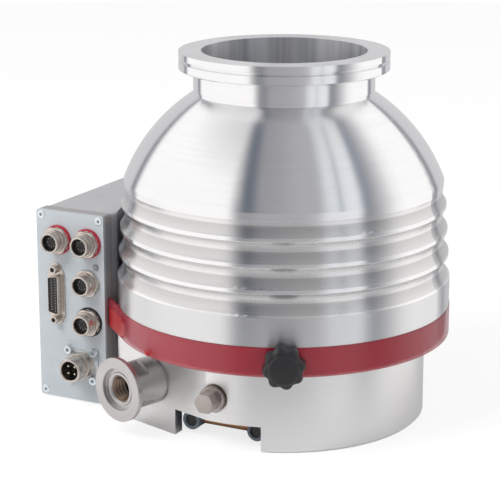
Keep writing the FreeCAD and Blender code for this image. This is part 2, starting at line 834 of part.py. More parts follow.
def make_base():
    seal_in = s.joint_seal_radius - s.joint_seal_width / 2
    seal_out = s.joint_seal_radius + s.joint_seal_width / 2
    seal_low = s.joint_height - s.joint_seal_depth
    blank = turned("base_blank", [
        (s.skirt_inner_radius, 0), (s.base_radius - s.base_edge, 0),
        (s.base_radius, s.base_edge), (s.base_radius, s.base_height),
        (s.base_flange_radius, s.base_height), (s.base_flange_radius, s.joint_height),
        (seal_out, s.joint_height), (seal_out, seal_low), (seal_in, seal_low),
        (seal_in, s.joint_height), (s.chamber_radius, s.joint_height),
        (s.chamber_radius, s.chamber_floor), (s.bearing_radius, s.chamber_floor),
        (s.bearing_radius, s.reservoir_top), (s.reservoir_radius, s.reservoir_top),
        (s.reservoir_radius, s.boss_bottom), (s.boss_radius, s.boss_bottom),
        (s.boss_radius, s.recess_height), (s.skirt_inner_radius, s.recess_height)])
    ring_zone = rod("base_ring_zone", s.chamber_radius, s.joint_height)
    recess_zone = rod("base_recess_zone", s.skirt_inner_radius, s.recess_height)
    outside = cut("port_block_outside", make_port_block(), [ring_zone, recess_zone])
    bridge_box = block("bridge_box", (-s.case_relief_radius - s.tool_margin, -s.bridge_width / 2,
                                      s.bridge_bottom),
                       (s.case_relief_radius - s.skirt_inner_radius + s.tool_margin, s.bridge_width,
                        s.bridge_top - s.bridge_bottom))
    relief = rod("bridge_end", s.case_relief_radius, s.pump_height)
    bridge = common("bridge", bridge_box, relief)
    solid = fuse("base_solid", [blank, outside, bridge])

    flat_turn = Rotation(UP, s.port_azimuth.number - 90)
    front = port_out * s.flat_distance.number - port_side * s.flat_reach.number
    margin = s.tool_margin
    flat_tool = block("flat_tool", (front.x, front.y, -margin),
                      (s.flat_reach * 2, s.base_radius, s.base_height + margin), turn=flat_turn)
    opening = block("opening_tool", (-s.opening_left, -s.base_radius - margin, -margin),
                    (s.opening_left + s.opening_right, s.opening_depth + margin,
                     s.opening_height + margin))
    wall = s.flat_distance - s.chamber_radius + s.port_offset
    groove_in = s.port_seal_radius - s.port_seal_width / 2
    groove_out = s.port_seal_radius + s.port_seal_width / 2
    tools = [
        flat_tool, opening,
        rod("port_hole", s.port_passage, wall + margin, port_spot(s.flat_distance + margin), -port_out),
        turned("port_seal_groove", [
            (groove_in, 0), (groove_out, 0), (groove_out, s.port_seal_depth + margin),
            (groove_in, s.port_seal_depth + margin)],
            port_spot(s.flat_distance - s.port_seal_depth), port_out),
        rod("plug_spotface", s.plug_seat_radius, s.plug_seat_depth + margin,
            (s.plug_offset, -s.plug_seat, s.plug_height), FRONT),
        rod("plug_hole", s.plug_thread_radius + s.running_clearance,
            s.plug_seat - s.chamber_radius + margin * 3,
            (s.plug_offset, -s.plug_seat - margin, s.plug_height), -FRONT),
        rod("vent_hole", s.vent_screw_radius + s.running_clearance,
            s.base_flange_radius - s.chamber_radius + margin * 3,
            vent_spot(s.base_flange_radius + margin), -vent_out),
        rod("vent_seat", s.vent_seat_radius, s.vent_seat_depth + margin,
            vent_spot(s.base_flange_radius - s.vent_seat_depth), vent_out),
        rod("feed_hole", s.feed_radius + s.running_clearance,
            s.case_relief_radius - s.chamber_radius + margin * 3,
            (-s.case_relief_radius - margin, 0, bridge_middle()), RIGHT)]
    seat = s.joint_screw_head_height + s.joint_screw_sink
    head_hole = s.joint_screw_head + s.screw_clearance
    shank_hole = s.joint_screw_radius + s.screw_clearance
    head = turned("joint_screw_hole", [
        (0, -margin), (head_hole, -margin), (head_hole, seat), (shank_hole, seat),
        (shank_hole, s.joint_height), (0, s.joint_height)])
    tools.append(group("joint_screw_holes", head,
                       [screw_place(angle, s.base_height) for angle in screw_angles()]))
    foot = rod("foot_hole", s.foot_hole_radius, s.foot_hole_depth + margin)
    foot_circle = (s.base_radius + s.skirt_inner_radius) / 2
    tools.append(group("foot_holes", foot, circle_places(s.foot_hole_count, foot_circle, -margin)))
    cover = rod("cover_thread", s.cover_screw_radius + s.running_clearance, s.cover_screw_length + margin)
    tools.append(group("cover_threads", cover, cover_places(s.boss_bottom - margin)))
    screw = rod("case_thread", s.case_screw_radius + s.running_clearance,
                s.case_screw_length + s.thread_margin)
    tools.append(group("case_threads", screw, [
        at(-s.case_inner_wall, y, z, RIGHT) for y, z in case_screw_spots()]))
    peg = rod("peg_hole", s.peg_radius + s.running_clearance, s.peg_depth + margin * 2)
    depth = (s.peg_depth + s.screw_clearance).number
    tools.append(group("peg_holes", peg, [peg_place(sign, depth) for sign in (-1, 1)]))
    body = cut("base_cut", solid, tools)
    lugs = []
    for name, x in (("left", s.cooling_left), ("right", s.cooling_right)):
        lugs.append(block("lug_" + name,
                          (x - s.cooling_lug_width / 2, -s.cooling_front + s.cooling_length,
                           s.cooling_height - s.cooling_radius),
                          (s.cooling_lug_width, s.cooling_lug,
                           s.recess_height + margin - s.cooling_height + s.cooling_radius)))
    node("base_body", fuse("base_body", [body] + lugs))


def bridge_middle():
    return (s.bridge_bottom + s.bridge_top) / 2


def circle_places(count, radius, height):
    """Places round a circle about the pump axis, the first half a step from +X."""
    step = 360 / count.number
    spots = [compass(step * (k + 0.5)) * radius.number for k in range(int(count.number))]
    return [at(spot.x, spot.y, height) for spot in spots]


def cover_places(height):
    return circle_places(s.cover_screw_count, s.cover_screw_circle, height)


def case_screw_spots():
    width, pitch = s.case_screw_width / 2, s.case_screw_pitch / 2
    return [(y, bridge_middle() + z) for y in (-width, width) for z in (-pitch, pitch)]


def peg_place(sign, depth):
    out = compass(sign * s.peg_azimuth.number)
    spot = out * (s.base_flange_radius.number - depth)
    return at(spot.x, spot.y, s.peg_height, out)


# Seal and screws of the joint
def make_joint():
    seal_in = s.joint_seal_radius - s.joint_seal_width / 2
    node("housing_seal", ring("housing_seal", seal_in, seal_in + s.joint_seal_width,
                              s.joint_height - s.joint_seal_depth, s.joint_height))
    seat = s.joint_screw_head_height
    body = turned("joint_screw", [
        (0, s.joint_screw_socket), (s.joint_screw_socket, 0), (s.joint_screw_head, 0),
        (s.joint_screw_head, seat), (s.joint_screw_radius, seat),
        (s.joint_screw_radius, s.joint_screw_length), (0, s.joint_screw_length)])
    node("housing_screws", group("housing_screws", body, [
        screw_place(angle, s.base_height + s.joint_screw_sink) for angle in screw_angles()]))


# Trim band with its clips and pegs
def band_start():
    return s.band_arc / 2


def make_band():
    arc = rod("band_arc", s.band_outer_radius, s.band_height, (0, 0, s.band_bottom))
    arc.setExpression("Angle", s.band_arc.text)
    arc.Placement = Placement(Vector(0, 0, s.band_bottom.number), Rotation(UP, -band_start().number))
    inside = rod("band_inside", s.band_outer_radius - s.band_thickness, s.pump_height)
    pieces = [cut("band_bow", arc, [inside])]
    for sign in (-1, 1):
        pieces.append(band_box("band_end_%d" % (sign + 1), sign, 0, band_reach() + s.box_tuck,
                               -s.band_thickness, s.band_thickness, s.band_bottom, s.band_height))
    whole = fuse("band_whole", pieces)
    beyond = block("band_trim_tool", (-s.box_inner_face - s.box_width, -s.band_outer_radius, 0),
                   (s.box_width, s.band_outer_radius * 2, s.pump_height))
    hole = rod("band_hole", s.band_hole_radius, s.band_thickness * 4,
               vent_spot(s.band_outer_radius - s.band_thickness * 2), vent_out)
    node("trim_band", cut("trim_band", whole, [beyond, hole]))

    clips = []
    for sign in (-1, 1):
        far = band_reach() - s.clip_setback
        middle = s.clip_middle
        clips.append(fuse("clip_%d" % (sign + 1), [
            band_box("clip_block_%d" % (sign + 1), sign, far - s.clip_length, s.clip_length,
                     -s.band_thickness - s.clip_depth, s.clip_depth,
                     middle - s.clip_height / 2, s.clip_height),
            band_box("clip_nub_%d" % (sign + 1), sign,
                     far - s.clip_length - s.clip_nub_length, s.clip_nub_length,
                     -s.band_thickness - s.clip_nub_depth, s.clip_nub_depth,
                     middle - s.clip_nub_height / 2, s.clip_nub_height)]))
    peg = rod("peg", s.peg_radius, s.peg_depth
              + s.band_outer_radius - s.band_thickness - s.base_flange_radius - s.running_clearance)
    doc.recompute()
    pegs = group("pegs", peg, [peg_place(sign, s.peg_depth.number) for sign in (-1, 1)])
    item = doc.addObject("Part::Feature", "band_clips")
    item.Shape = Part.makeCompound([c.Shape.Solids[0] for c in clips] + pegs.Shape.Solids)
    node("band_clips", item)


def band_reach():
    """Length of each straight end of the band, from its arc to the side of the drive box."""
    run = s.box_inner_face + s.band_outer_radius * cosine(band_start())
    return run / sine(band_start())


def band_box(name, sign, along, length, out, depth, bottom, height):
    """Box along a straight end of the band, with out measured from its outer face."""
    start = compass(sign * band_start().number)
    ahead = Vector(-start.y, start.x, 0) * sign
    corner = start * (s.band_outer_radius.number + dim(out).number) + ahead * dim(along).number
    frame = Rotation(ahead, UP.cross(ahead), UP, "XYZ")
    inward_first = frame.multVec(Vector(0, 1, 0)).dot(start) < 0
    if inward_first:
        corner = corner + start * dim(depth).number
    return block(name, (corner.x, corner.y, bottom), (length, depth, height), turn=frame)


# Bladed stages
def blade_profile(height, angle, thickness):
    """Parallelogram of one blade, seen along its radius, with flat top and bottom."""
    width = thickness / sine(angle)
    lean = height / tangent(angle)
    left = -(width + lean) / 2
    return [(left, 0), (left + width, 0), (left + width + lean, height), (left + lean, height)]


def bladed_disc(name, hub_outline, number, height, bottom, lean_sign, inner, outer):
    """Turned hub or rings with one blade padded outwards and patterned round the axis."""
    body = new_body(name)
    revolve(body, hub_outline)
    corners = blade_profile(height, stage("blade_angle", number), s.blade_thickness)
    corners = [(x * lean_sign, bottom + y) for x, y in corners]
    if lean_sign < 0:
        corners.reverse()
    profile = sketch(body, "YZ_Plane", [corners], offset=inner)
    blade = pad(body, profile, outer - inner)
    polar(body, blade, stage("blade_count", number))
    return node(name, body)


def make_rotor_discs():
    for number in STAGES:
        low = rotor_bottom[number]
        high = low + stage_height("rotor", number)
        hub = stage("hub_radius", number)
        if number == 1:
            outline = [(s.shaft_radius, low), (hub, low), (hub, high), (s.shaft_radius, high)]
        else:
            above = rotor_bottom[number - 1]
            outline = [(s.shaft_radius, low), (hub, low), (hub, high), (s.sleeve_radius, high),
                       (s.sleeve_radius, above), (s.shaft_radius, above)]
        bladed_disc("rotor_disc_%d" % number, [outline], number, high - low, low, 1,
                    hub - s.blade_root, s.tip_radius)


def make_stator_discs():
    outer = s.stack_bore - s.stack_clearance
    for number in STAGES:
        low = stator_bottom[number]
        high = low + stage_height("stator", number)
        hub = stage("hub_radius", number)
        web = [(s.stator_bore, low), (hub, low), (hub, high), (s.stator_bore, high)]
        rim = [(outer - s.stator_rim, low), (outer, low), (outer, high), (outer - s.stator_rim, high)]
        bladed_disc("stator_disc_%d" % number, [web, rim], number, high - low, low, -1,
                    hub - s.blade_root, outer - s.stator_rim + s.blade_root)


def make_spacers():
    outer = s.stack_bore - s.stack_clearance
    rings = []
    for number in STAGES:
        low = stator_bottom[number] + stage_height("stator", number)
        high = rotor_bottom[number] + stage_height("rotor", number) + s.stage_gap
        rings.append(ring("spacer_%d" % number, s.spacer_inner_radius, outer, low, high))
    doc.recompute()
    item = doc.addObject("Part::Feature", "spacer_rings")
    item.Shape = Part.makeCompound([r.Shape.Solids[0] for r in rings])
    node("spacer_rings", item)


# Shaft, drag stage, motor and bearings
def make_shaft():
    top = rotor_bottom[1] + stage_height("rotor", 1)
    seat = top - s.magnet_bore_depth
    node("rotor_shaft", turned("rotor_shaft", [
        (0, s.cone_bottom), (s.spindle_radius, s.cone_bottom), (s.cone_radius, s.cone_top),
        (s.spindle_radius, s.cone_top), (s.spindle_radius, s.chamber_floor),
        (s.drive_radius, s.chamber_floor), (s.drive_radius, s.shaft_step),
        (s.shaft_radius, s.shaft_step), (s.shaft_radius, top), (s.magnet_seat, top),
        (s.magnet_seat, seat), (0, seat)]))
    node("magnet_bearing_rotor", ring(
        "magnet_bearing_rotor", s.magnet_inner_radius, s.magnet_seat, seat, seat + s.magnet_length))
    pin_low = seat + s.stage_gap
    node("magnet_bearing_stator", ring(
        "magnet_bearing_stator", s.magnet_pin_radius, s.magnet_stator_radius,
        pin_low, pin_low + s.magnet_length))
    return pin_low


def make_star(pin_low):
    outer = s.stack_bore - s.stack_clearance
    high = star_bottom + s.star_height
    rim = ring("star_rim", s.spacer_inner_radius, outer, star_bottom, high)
    hub = turned("star_hub", [
        (0, pin_low), (s.magnet_pin_radius, pin_low), (s.magnet_pin_radius, star_bottom),
        (s.star_hub_radius, star_bottom), (s.star_hub_radius, high),
        (s.star_hub_radius - s.star_hub_rise * 2, high + s.star_hub_rise),
        (0, high + s.star_hub_rise)])
    arm = block("star_arm", (s.star_hub_radius - s.star_arm_root, -s.star_arm_width / 2, star_bottom),
                (s.spacer_inner_radius - s.star_hub_radius + s.star_arm_root + s.tool_margin,
                 s.star_arm_width, s.star_height))
    step = 360 / s.star_arm_count.number
    arms = group("star_arms", arm, [
        Placement(Vector(), Rotation(UP, step * k + s.star_arm_azimuth.number))
        for k in range(int(s.star_arm_count.number))])
    node("bearing_star", fuse("bearing_star", [rim, hub, arms]))


def make_drag_stage():
    web_top = s.shaft_step + s.drag_web
    node("drag_rotor", turned("drag_rotor", [
        (s.shaft_radius, s.shaft_step), (s.drag_outer_radius - s.drag_wall, s.shaft_step),
        (s.drag_outer_radius - s.drag_wall, s.drag_bottom), (s.drag_outer_radius, s.drag_bottom),
        (s.drag_outer_radius, web_top), (s.sleeve_radius, web_top),
        (s.sleeve_radius, rotor_bottom[5]), (s.shaft_radius, rotor_bottom[5])]))
    bore = s.drag_outer_radius + s.drag_gap
    floor = s.chamber_floor
    node("drag_stator", turned("drag_stator", [
        (bore, s.drag_bottom), (s.chamber_radius - s.stack_clearance, floor),
        (s.chamber_radius - s.stack_clearance, s.drag_bottom + s.drag_stator_height),
        (bore, s.drag_bottom + s.drag_stator_height)]))


def make_motor():
    floor = s.chamber_floor
    node("motor_stator", ring("motor_stator", s.motor_bore, s.motor_radius,
                              floor, floor + s.motor_height))
    node("motor_magnet", ring("motor_magnet", s.drive_radius, s.motor_magnet_radius,
                              floor + s.motor_magnet_inset,
                              floor + s.motor_height - s.motor_magnet_inset))


def make_bearing():
    low, high = s.bearing_bottom, s.bearing_bottom + s.bearing_width
    inner_race = s.spindle_radius + s.bearing_race
    outer_race = s.bearing_radius - s.bearing_race
    node("bearing_outer_ring", ring("bearing_outer_ring", outer_race, s.bearing_radius, low, high))
    node("bearing_inner_ring", ring("bearing_inner_ring", s.spindle_radius, inner_race, low, high))
    middle = (inner_race + outer_race) / 2
    node("bearing_cage", ring("bearing_cage", middle - s.bearing_cage / 2, middle + s.bearing_cage / 2,
                              low + s.bearing_cage_inset, high - s.bearing_cage_inset))
    node("fluid_felt", ring("fluid_felt", s.felt_bore, s.reservoir_radius,
                            s.boss_bottom, s.reservoir_top))


def make_bottom_cover():
    low = s.boss_bottom - s.cover_thickness
    plate = rod("cover_plate", s.cover_radius, s.cover_thickness, (0, 0, low))
    clearance = s.cover_screw_radius + s.running_clearance
    hole = turned("cover_screw_hole", [
        (0, 0), (s.cover_screw_head + s.running_clearance, 0),
        (clearance, s.cover_screw_head - s.cover_screw_radius),
        (clearance, s.cover_thickness + s.tool_margin), (0, s.cover_thickness + s.tool_margin)])
    holes = group("cover_screw_holes", hole, cover_places(low))
    node("bottom_cover", cut("bottom_cover", plate, [holes]))
    screw = turned("cover_screw", [
        (0, 0), (s.cover_screw_head, 0), (s.cover_screw_radius, s.cover_screw_head - s.cover_screw_radius),
        (s.cover_screw_radius, s.cover_screw_length), (0, s.cover_screw_length)])
    node("cover_screws", group("cover_screws", screw, cover_places(low)))


# Ports on the base
def make_port():
    face = s.port_length
    rim_back = face - s.port_rim
    recess = face - s.port_recess_depth
    ring_top = face - s.port_ring_drop
    flange = turned("port_flange_blank", [
        (s.port_bore, 0), (s.port_tube_radius, 0),
        (s.port_tube_radius, rim_back - s.port_taper), (s.port_flange_radius, rim_back),
        (s.port_flange_radius, face), (s.port_recess_radius, face),
        (s.port_recess_radius, recess), (s.port_ring_radius, recess),
        (s.port_ring_radius, ring_top), (s.port_bore, ring_top)],
        port_spot(s.flat_distance), port_out)
    flats = []
    length = rim_back - s.port_taper - s.port_flat_start
    size = (s.port_flange_radius * 2, length, s.port_flange_radius)
    spot = port_out * (s.flat_distance + s.port_flat_start).number \
        + port_side * (s.port_offset - s.port_flange_radius).number
    for name, low in (("low", s.port_height - s.port_flat_width / 2 - s.port_flange_radius),
                      ("high", s.port_height + s.port_flat_width / 2)):
        flats.append(block("port_flat_" + name, (spot.x, spot.y, low), size,
                           turn=Rotation(UP, s.port_azimuth.number - 90)))
    node("fore_vacuum_flange", cut("fore_vacuum_flange", flange, flats))
    half = s.port_seal_width / 2
    seal = turned("fore_vacuum_seal", [
        (s.port_seal_radius - half, 0), (s.port_seal_radius + half, 0),
        (s.port_seal_radius + half, s.port_seal_depth), (s.port_seal_radius - half, s.port_seal_depth)],
        port_spot(s.flat_distance - s.port_seal_depth), port_out)
    node("fore_vacuum_seal", seal)


def make_plug():
    body = new_body("purge_plug")
    revolve(body, [[
        (0, -s.plug_thread), (s.plug_thread_radius, -s.plug_thread),
        (s.plug_thread_radius, s.washer_thickness),
        (s.plug_collar_radius, s.washer_thickness),
        (s.plug_collar_radius, s.washer_thickness + s.plug_collar),
        (0, s.washer_thickness + s.plug_collar)]])
    head = sketch(body, "XY_Plane", [hexagon(s.plug_hex)], offset=s.washer_thickness + s.plug_collar)
    pad(body, head, s.plug_head)
    spot = (s.plug_offset, -s.plug_seat, s.plug_height)
    node("purge_plug", place(body, spot, FRONT))
    washer = turned("purge_washer", [
        (s.plug_thread_radius, 0), (s.plug_collar_radius, 0),
        (s.plug_collar_radius, s.washer_thickness), (s.plug_thread_radius, s.washer_thickness)],
        spot, FRONT)
    node("purge_washer", washer)


def make_cooling():
    spots = [(x, -s.cooling_front, s.cooling_height) for x in (s.cooling_left, s.cooling_right)]
    sleeve = turned("cooling_sleeve", [
        (s.cooling_bore, 0), (s.cooling_radius - s.cooling_edge, 0), (s.cooling_radius, s.cooling_edge),
        (s.cooling_radius, s.cooling_length), (s.cooling_bore, s.cooling_length)])
    node("cooling_sockets", group("cooling_sockets", sleeve, [at(*spot, -FRONT) for spot in spots]))
    stopper = rod("cooling_stopper", s.cooling_bore, s.cooling_plug, (0, 0, s.cooling_plug_recess))
    node("cooling_stoppers", group("cooling_stoppers", stopper, [at(*spot, -FRONT) for spot in spots]))
    tube = rod("cooling_tube", s.pipe_radius, s.cooling_right - s.cooling_left,
               (s.cooling_left, -s.pipe_front, s.cooling_height), RIGHT)
    ends = [rod("cooling_end_%d" % k, s.cooling_radius, s.cooling_length, spot, -FRONT)
            for k, spot in enumerate(spots)]
    node("cooling_pipe", cut("cooling_pipe", tube, ends))


# Vent valve
def make_vent():
    seat = s.base_flange_radius - s.vent_seat_depth
    seal = turned("vent_seal", [
        (s.vent_screw_radius + s.running_clearance, 0), (s.vent_seat_radius - s.vent_gap, 0),
        (s.vent_seat_radius - s.vent_gap, s.vent_seal_thickness),
        (s.vent_screw_radius + s.running_clearance, s.vent_seal_thickness)],
        vent_spot(seat), vent_out)
    node("vent_seal", seal)
    collar = seat + s.vent_seal_thickness
    back = s.knob_back - collar
    screw = turned("vent_screw", [
        (0, back - s.vent_screw_length), (s.vent_screw_radius, back - s.vent_screw_length),
        (s.vent_screw_radius, 0), (s.vent_seat_radius - s.vent_gap, 0),
        (s.vent_seat_radius - s.vent_gap, back),
        (0, back)], vent_spot(collar), vent_out)
    node("vent_screw", screw)
    body = new_body("vent_knob")
    face, edge = s.knob_thickness, s.knob_edge
    revolve(body, [[
        (0, 0), (s.knob_radius - edge, 0), (s.knob_radius, edge), (s.knob_radius, face - edge),
        (s.knob_radius - edge, face), (s.knob_hub_radius, face),
        (s.knob_hub_radius - s.knob_hub, face + s.knob_hub), (0, face + s.knob_hub)]])
    valley = circle_sketch(body, "XY_Plane", s.knob_valley_centre, 0, s.knob_valley_radius)
    notch = pocket(body, valley, s.knob_thickness + s.tool_margin, reverse=True)
    polar(body, notch, s.knob_lobes)
    node("vent_knob", place(body, vent_spot(s.knob_back), vent_out))


# Drive box
def box_side(left):
    """Row X of a point on the panel, from its distance to the panel's outer edge."""
    return left - s.box_inner_face - s.box_width


def prism(name, loops, front, depth):
    """Plate or box whose outline lies in the XZ plane, from Y = -front backwards."""
    body = new_body(name)
    pad(body, sketch(body, "XZ_Plane", loops, offset=front - depth), depth)
    return body


def make_panel():
    left, right = box_side(0), -s.box_inner_face
    outline = rounded(left, s.box_bottom, right, s.box_top, s.panel_corner)
    plate = prism("panel_plate", [outline], s.panel_front, s.panel_thickness)
    holes = []
    for k, (x, z) in enumerate(round_spots()):
        holes.append(panel_hole("round_hole_%d" % k, s.round_barrel + s.running_clearance, x, z))
    holes.append(panel_hole("power_hole", s.power_radius + s.running_clearance,
                            s.power_left, s.power_height))
    holes.append(panel_hole("lens_hole", s.lens_radius + s.running_clearance,
                            s.lens_left, s.lens_height))
    half_width, half_length = s.service_shell_width / 2, s.service_shell_length / 2
    gap = s.running_clearance
    holes.append(block("service_hole", (box_side(s.service_left) - half_width - gap,
                                        -s.panel_front - s.tool_margin,
                                        s.service_height - half_length - gap),
                       (s.service_shell_width + gap * 2, s.panel_thickness + s.tool_margin * 2,
                        s.service_shell_length + gap * 2)))
    sink = turned("panel_screw_hole", screw_outline(s.running_clearance))
    holes.append(group("panel_screw_holes", sink, panel_screw_places()))
    for k, (x, z) in enumerate(power_screw_spots()):
        holes.append(rod("power_screw_hole_%d" % k, s.power_screw_radius + s.running_clearance,
                         s.panel_thickness + s.tool_margin * 2,
                         (x, -s.panel_front - s.tool_margin, z), -FRONT))
    for k, z in enumerate(jack_heights()):
        holes.append(panel_hole("jack_hole_%d" % k, s.jack_bore + s.running_clearance, s.service_left, z))
    node("front_panel", cut("front_panel", plate, holes))
    screw = turned("panel_screw", screw_outline(0))
    node("panel_screws", group("panel_screws", screw, panel_screw_places()))


def screw_outline(gap):
    """Countersunk screw, or its hole with a gap all round, from its head down."""
    head, shank = s.panel_screw_head + gap, s.panel_screw_radius + gap
    return [(0, 0), (head, 0), (shank, s.panel_screw_head - s.panel_screw_radius),
            (shank, s.panel_screw_length + gap), (0, s.panel_screw_length + gap)]


def panel_screw_places():
    inset = s.panel_screw_inset
    return [at(x, -s.panel_front, z, -FRONT)
            for x in (box_side(inset), -s.box_inner_face - inset)
            for z in (s.box_bottom + inset, s.box_top - inset)]


def panel_hole(name, radius, left, height):
    return rod(name, radius, s.panel_thickness + s.tool_margin * 2,
               (box_side(left), -s.panel_front - s.tool_margin, height), -FRONT)


def round_spots():
    return [(s.round_left_one, s.round_height_one), (s.round_left_two, s.round_height_one),
            (s.round_left_three, s.round_height_three), (s.round_left_four, s.round_height_four)]


def power_screw_spots():
    half = s.power_screw_pitch / 2
    return [(box_side(s.power_left) + x, s.power_height + z) for x in (-half, half) for z in (-half, half)]


def jack_heights():
    return [s.service_height - s.jack_pitch / 2, s.service_height + s.jack_pitch / 2]


def make_frame_and_case():
    left, right = box_side(0), -s.box_inner_face
    wall = s.frame_wall
    frame_front = s.panel_front - s.panel_thickness
    outline = rounded(left, s.box_bottom, right, s.box_top, s.panel_corner)
    inside = rectangle(left + wall, s.box_bottom + wall, right - wall, s.box_top - wall)
    frame = prism("frame_blank", [outline, inside], frame_front, s.frame_depth)
    corner = wall + s.panel_screw_inset
    size = s.panel_screw_inset + s.tool_margin
    tabs = []
    for k, x in enumerate((left + wall - s.tool_margin, right - corner)):
        for j, z in enumerate((s.box_bottom + wall - s.tool_margin, s.box_top - corner)):
            tabs.append(block("frame_tab_%d%d" % (k, j), (x, -frame_front, z),
                              (size, s.frame_depth, size)))
    solid = fuse("frame_solid", [frame] + tabs)
    thread = rod("frame_thread", s.panel_screw_radius + s.running_clearance, s.panel_screw_length)
    threads = group("frame_threads", thread, panel_screw_places())
    node("front_frame", cut("front_frame", solid, [threads]))

    case_front = frame_front - s.frame_depth
    depth = case_front + s.case_rear
    inset = s.case_inset
    outline = rounded(left + inset, s.box_bottom + inset, right, s.box_top - inset, s.panel_corner)
    shell = prism("case_blank", [outline], case_front, depth)
    margin = s.tool_margin
    hollow = block("case_hollow",
                   (left + inset + s.case_wall, -case_front - margin,
                    s.box_bottom + inset + s.case_wall),
                   (s.box_inner_face + s.box_width - inset - s.case_wall - s.case_inner_wall,
                    depth + margin - s.case_wall,
                    s.box_top - s.box_bottom - (inset + s.case_wall) * 2))
    relief = rod("case_relief", s.case_relief_radius, s.pump_height, (0, 0, -margin))
    feed = rod("case_feed_hole", s.feed_radius + s.running_clearance, s.case_neck + s.feed_radius,
               (-s.case_inner_wall - margin, 0, bridge_middle()), RIGHT)
    screw = rod("case_screw_hole", s.case_screw_radius + s.running_clearance, s.case_screw_length)
    screws = group("case_screw_holes", screw, [
        at(-s.case_inner_wall - margin, y, z, RIGHT) for y, z in case_screw_spots()])
    node("drive_case", cut("drive_case", shell, [hollow, relief, feed, screws]))
    node("drive_feedthrough", rod("drive_feedthrough", s.feed_radius,
                                  s.feed_end - s.chamber_radius - s.feed_setback,
                                  (-s.feed_end, 0, bridge_middle()), RIGHT))
    head = s.case_screw_head_height
    bolt = turned("case_screw", [
        (0, -head), (s.case_screw_head, -head), (s.case_screw_head, 0), (s.case_screw_radius, 0),
        (s.case_screw_radius, s.case_screw_length), (0, s.case_screw_length)])
    node("case_screws", group("case_screws", bolt, [
        at(-s.case_inner_wall, y, z, RIGHT) for y, z in case_screw_spots()]))


def make_board():
    low = s.box_bottom + s.board_margin
    high = s.box_top - s.board_margin
    front = s.panel_front - s.panel_thickness - s.frame_depth - s.board_margin
    node("circuit_board", block("circuit_board", (-s.board_plane, -front, low), (
        s.board_thickness, front + s.case_rear - s.board_margin, high - low)))
    wall = s.box_inner_face + s.box_width - s.case_inset - s.case_wall
    post = rod("board_post", s.board_post_radius, wall - s.board_plane)
    rear = s.case_rear - s.board_margin
    inset = s.board_post_radius + s.board_post_inset
    node("board_posts", group("board_posts", post, [
        at(-wall, y, z, RIGHT) for y in (-front + inset, rear - inset)
        for z in (low + inset, high - inset)]))


# Connectors on the panel
def make_round_sockets():
    face, nut = s.round_reach, s.round_nut_thickness
    floor = face - s.round_insert_drop
    shell = new_body("round_socket")
    revolve(shell, [[
        (s.round_bore, -s.round_tail), (s.round_barrel, -s.round_tail),
        (s.round_barrel, face), (s.round_bore, face)]])
    collar = sketch(shell, "XY_Plane", [hexagon(s.round_nut * math.sqrt(3))])
    pad(shell, collar, nut)
    bore = circle_sketch(shell, "XY_Plane", 0, 0, s.round_bore, offset=-s.round_tail)
    pocket(shell, bore, s.round_tail + face, reverse=True)
    spots = [(box_side(x), -s.panel_front, z) for x, z in round_spots()]
    lifts = [s.ring_thickness, s.ring_thickness, dim(0), s.gasket_thickness]
    places = [at(x, y - lift, z, FRONT) for (x, y, z), lift in zip(spots, lifts)]
    node("round_sockets", group("round_sockets", shell, places))
    insert = rod("socket_insert", s.round_bore, s.round_tail + floor, (0, 0, -s.round_tail))
    node("socket_inserts", group("socket_inserts", insert, places))
    washer = turned("socket_ring", [
        (s.round_barrel + s.running_clearance, 0), (s.ring_radius, 0),
        (s.ring_radius, s.ring_thickness), (s.round_barrel + s.running_clearance, s.ring_thickness)])
    node("socket_rings", group("socket_rings", washer, [at(*spot, FRONT) for spot in spots[:2]]))
    x, y, z = spots[3]
    gasket = turned("socket_gasket", [
        (s.round_barrel + s.running_clearance, 0), (s.gasket_radius, 0),
        (s.gasket_radius, s.gasket_thickness),
        (s.round_barrel + s.running_clearance, s.gasket_thickness)], (x, y, z), FRONT)
    node("socket_gasket", gasket)


def tapered(width, length, slope):
    """Long D outline: its right side is longer than its left by the slope."""
    half_width, half_length = width / 2, length / 2
    back = width * tangent(slope)
    return [(-half_width, -half_length + back), (half_width, -half_length),
            (half_width, half_length), (-half_width, half_length - back)]


def make_service_socket():
    body = new_body("service_socket")
    plate = rectangle(-s.service_flange_width / 2, -s.service_flange_length / 2,
                      s.service_flange_width / 2, s.service_flange_length / 2)
    pad(body, sketch(body, "XZ_Plane", [plate]), s.service_flange)
    outer = tapered(s.service_shell_width, s.service_shell_length, s.service_taper)
    shell = sketch(body, "XZ_Plane", [outer])
    pad(body, shell, s.service_reach)
    wall = s.service_shell_wall * 2
    inner = tapered(s.service_shell_width - wall, s.service_shell_length - wall, s.service_taper)
    mouth = sketch(body, "XZ_Plane", [inner], offset=s.service_reach - s.service_mouth)
    pocket(body, mouth, s.service_mouth + s.running_clearance, reverse=True)
    back = sketch(body, "XZ_Plane", [outer])
    pad(body, back, s.service_body, reverse=True)
    for sign in (-1, 1):
        hole = circle_sketch(body, "XZ_Plane", 0, s.jack_pitch / 2 * sign, s.jack_bore + s.running_clearance)
        pocket(body, hole, s.service_flange + s.tool_margin, reverse=True)
    spot = (box_side(s.service_left), -s.panel_front, s.service_height)
    node("service_socket", place(body, spot))
    jack = new_body("jack_screw")
    pad(jack, sketch(jack, "XY_Plane", [hexagon(s.jack_hex)], offset=s.service_flange), s.jack_length)
    pad(jack, circle_sketch(jack, "XY_Plane", 0, 0, s.jack_bore, offset=-s.jack_tail),
        s.service_flange + s.jack_tail)
    node("jack_screws", group("jack_screws", jack, [
        at(box_side(s.service_left), -s.panel_front, z, FRONT) for z in jack_heights()]))


def make_status_lens():
    node("status_lens", turned("status_lens", [
        (0, -s.panel_thickness), (s.lens_radius, -s.panel_thickness), (s.lens_radius, s.lens_reach / 2),
        (s.lens_radius / 2, s.lens_reach), (0, s.lens_reach)],
        (box_side(s.lens_left), -s.panel_front, s.lens_height), FRONT))


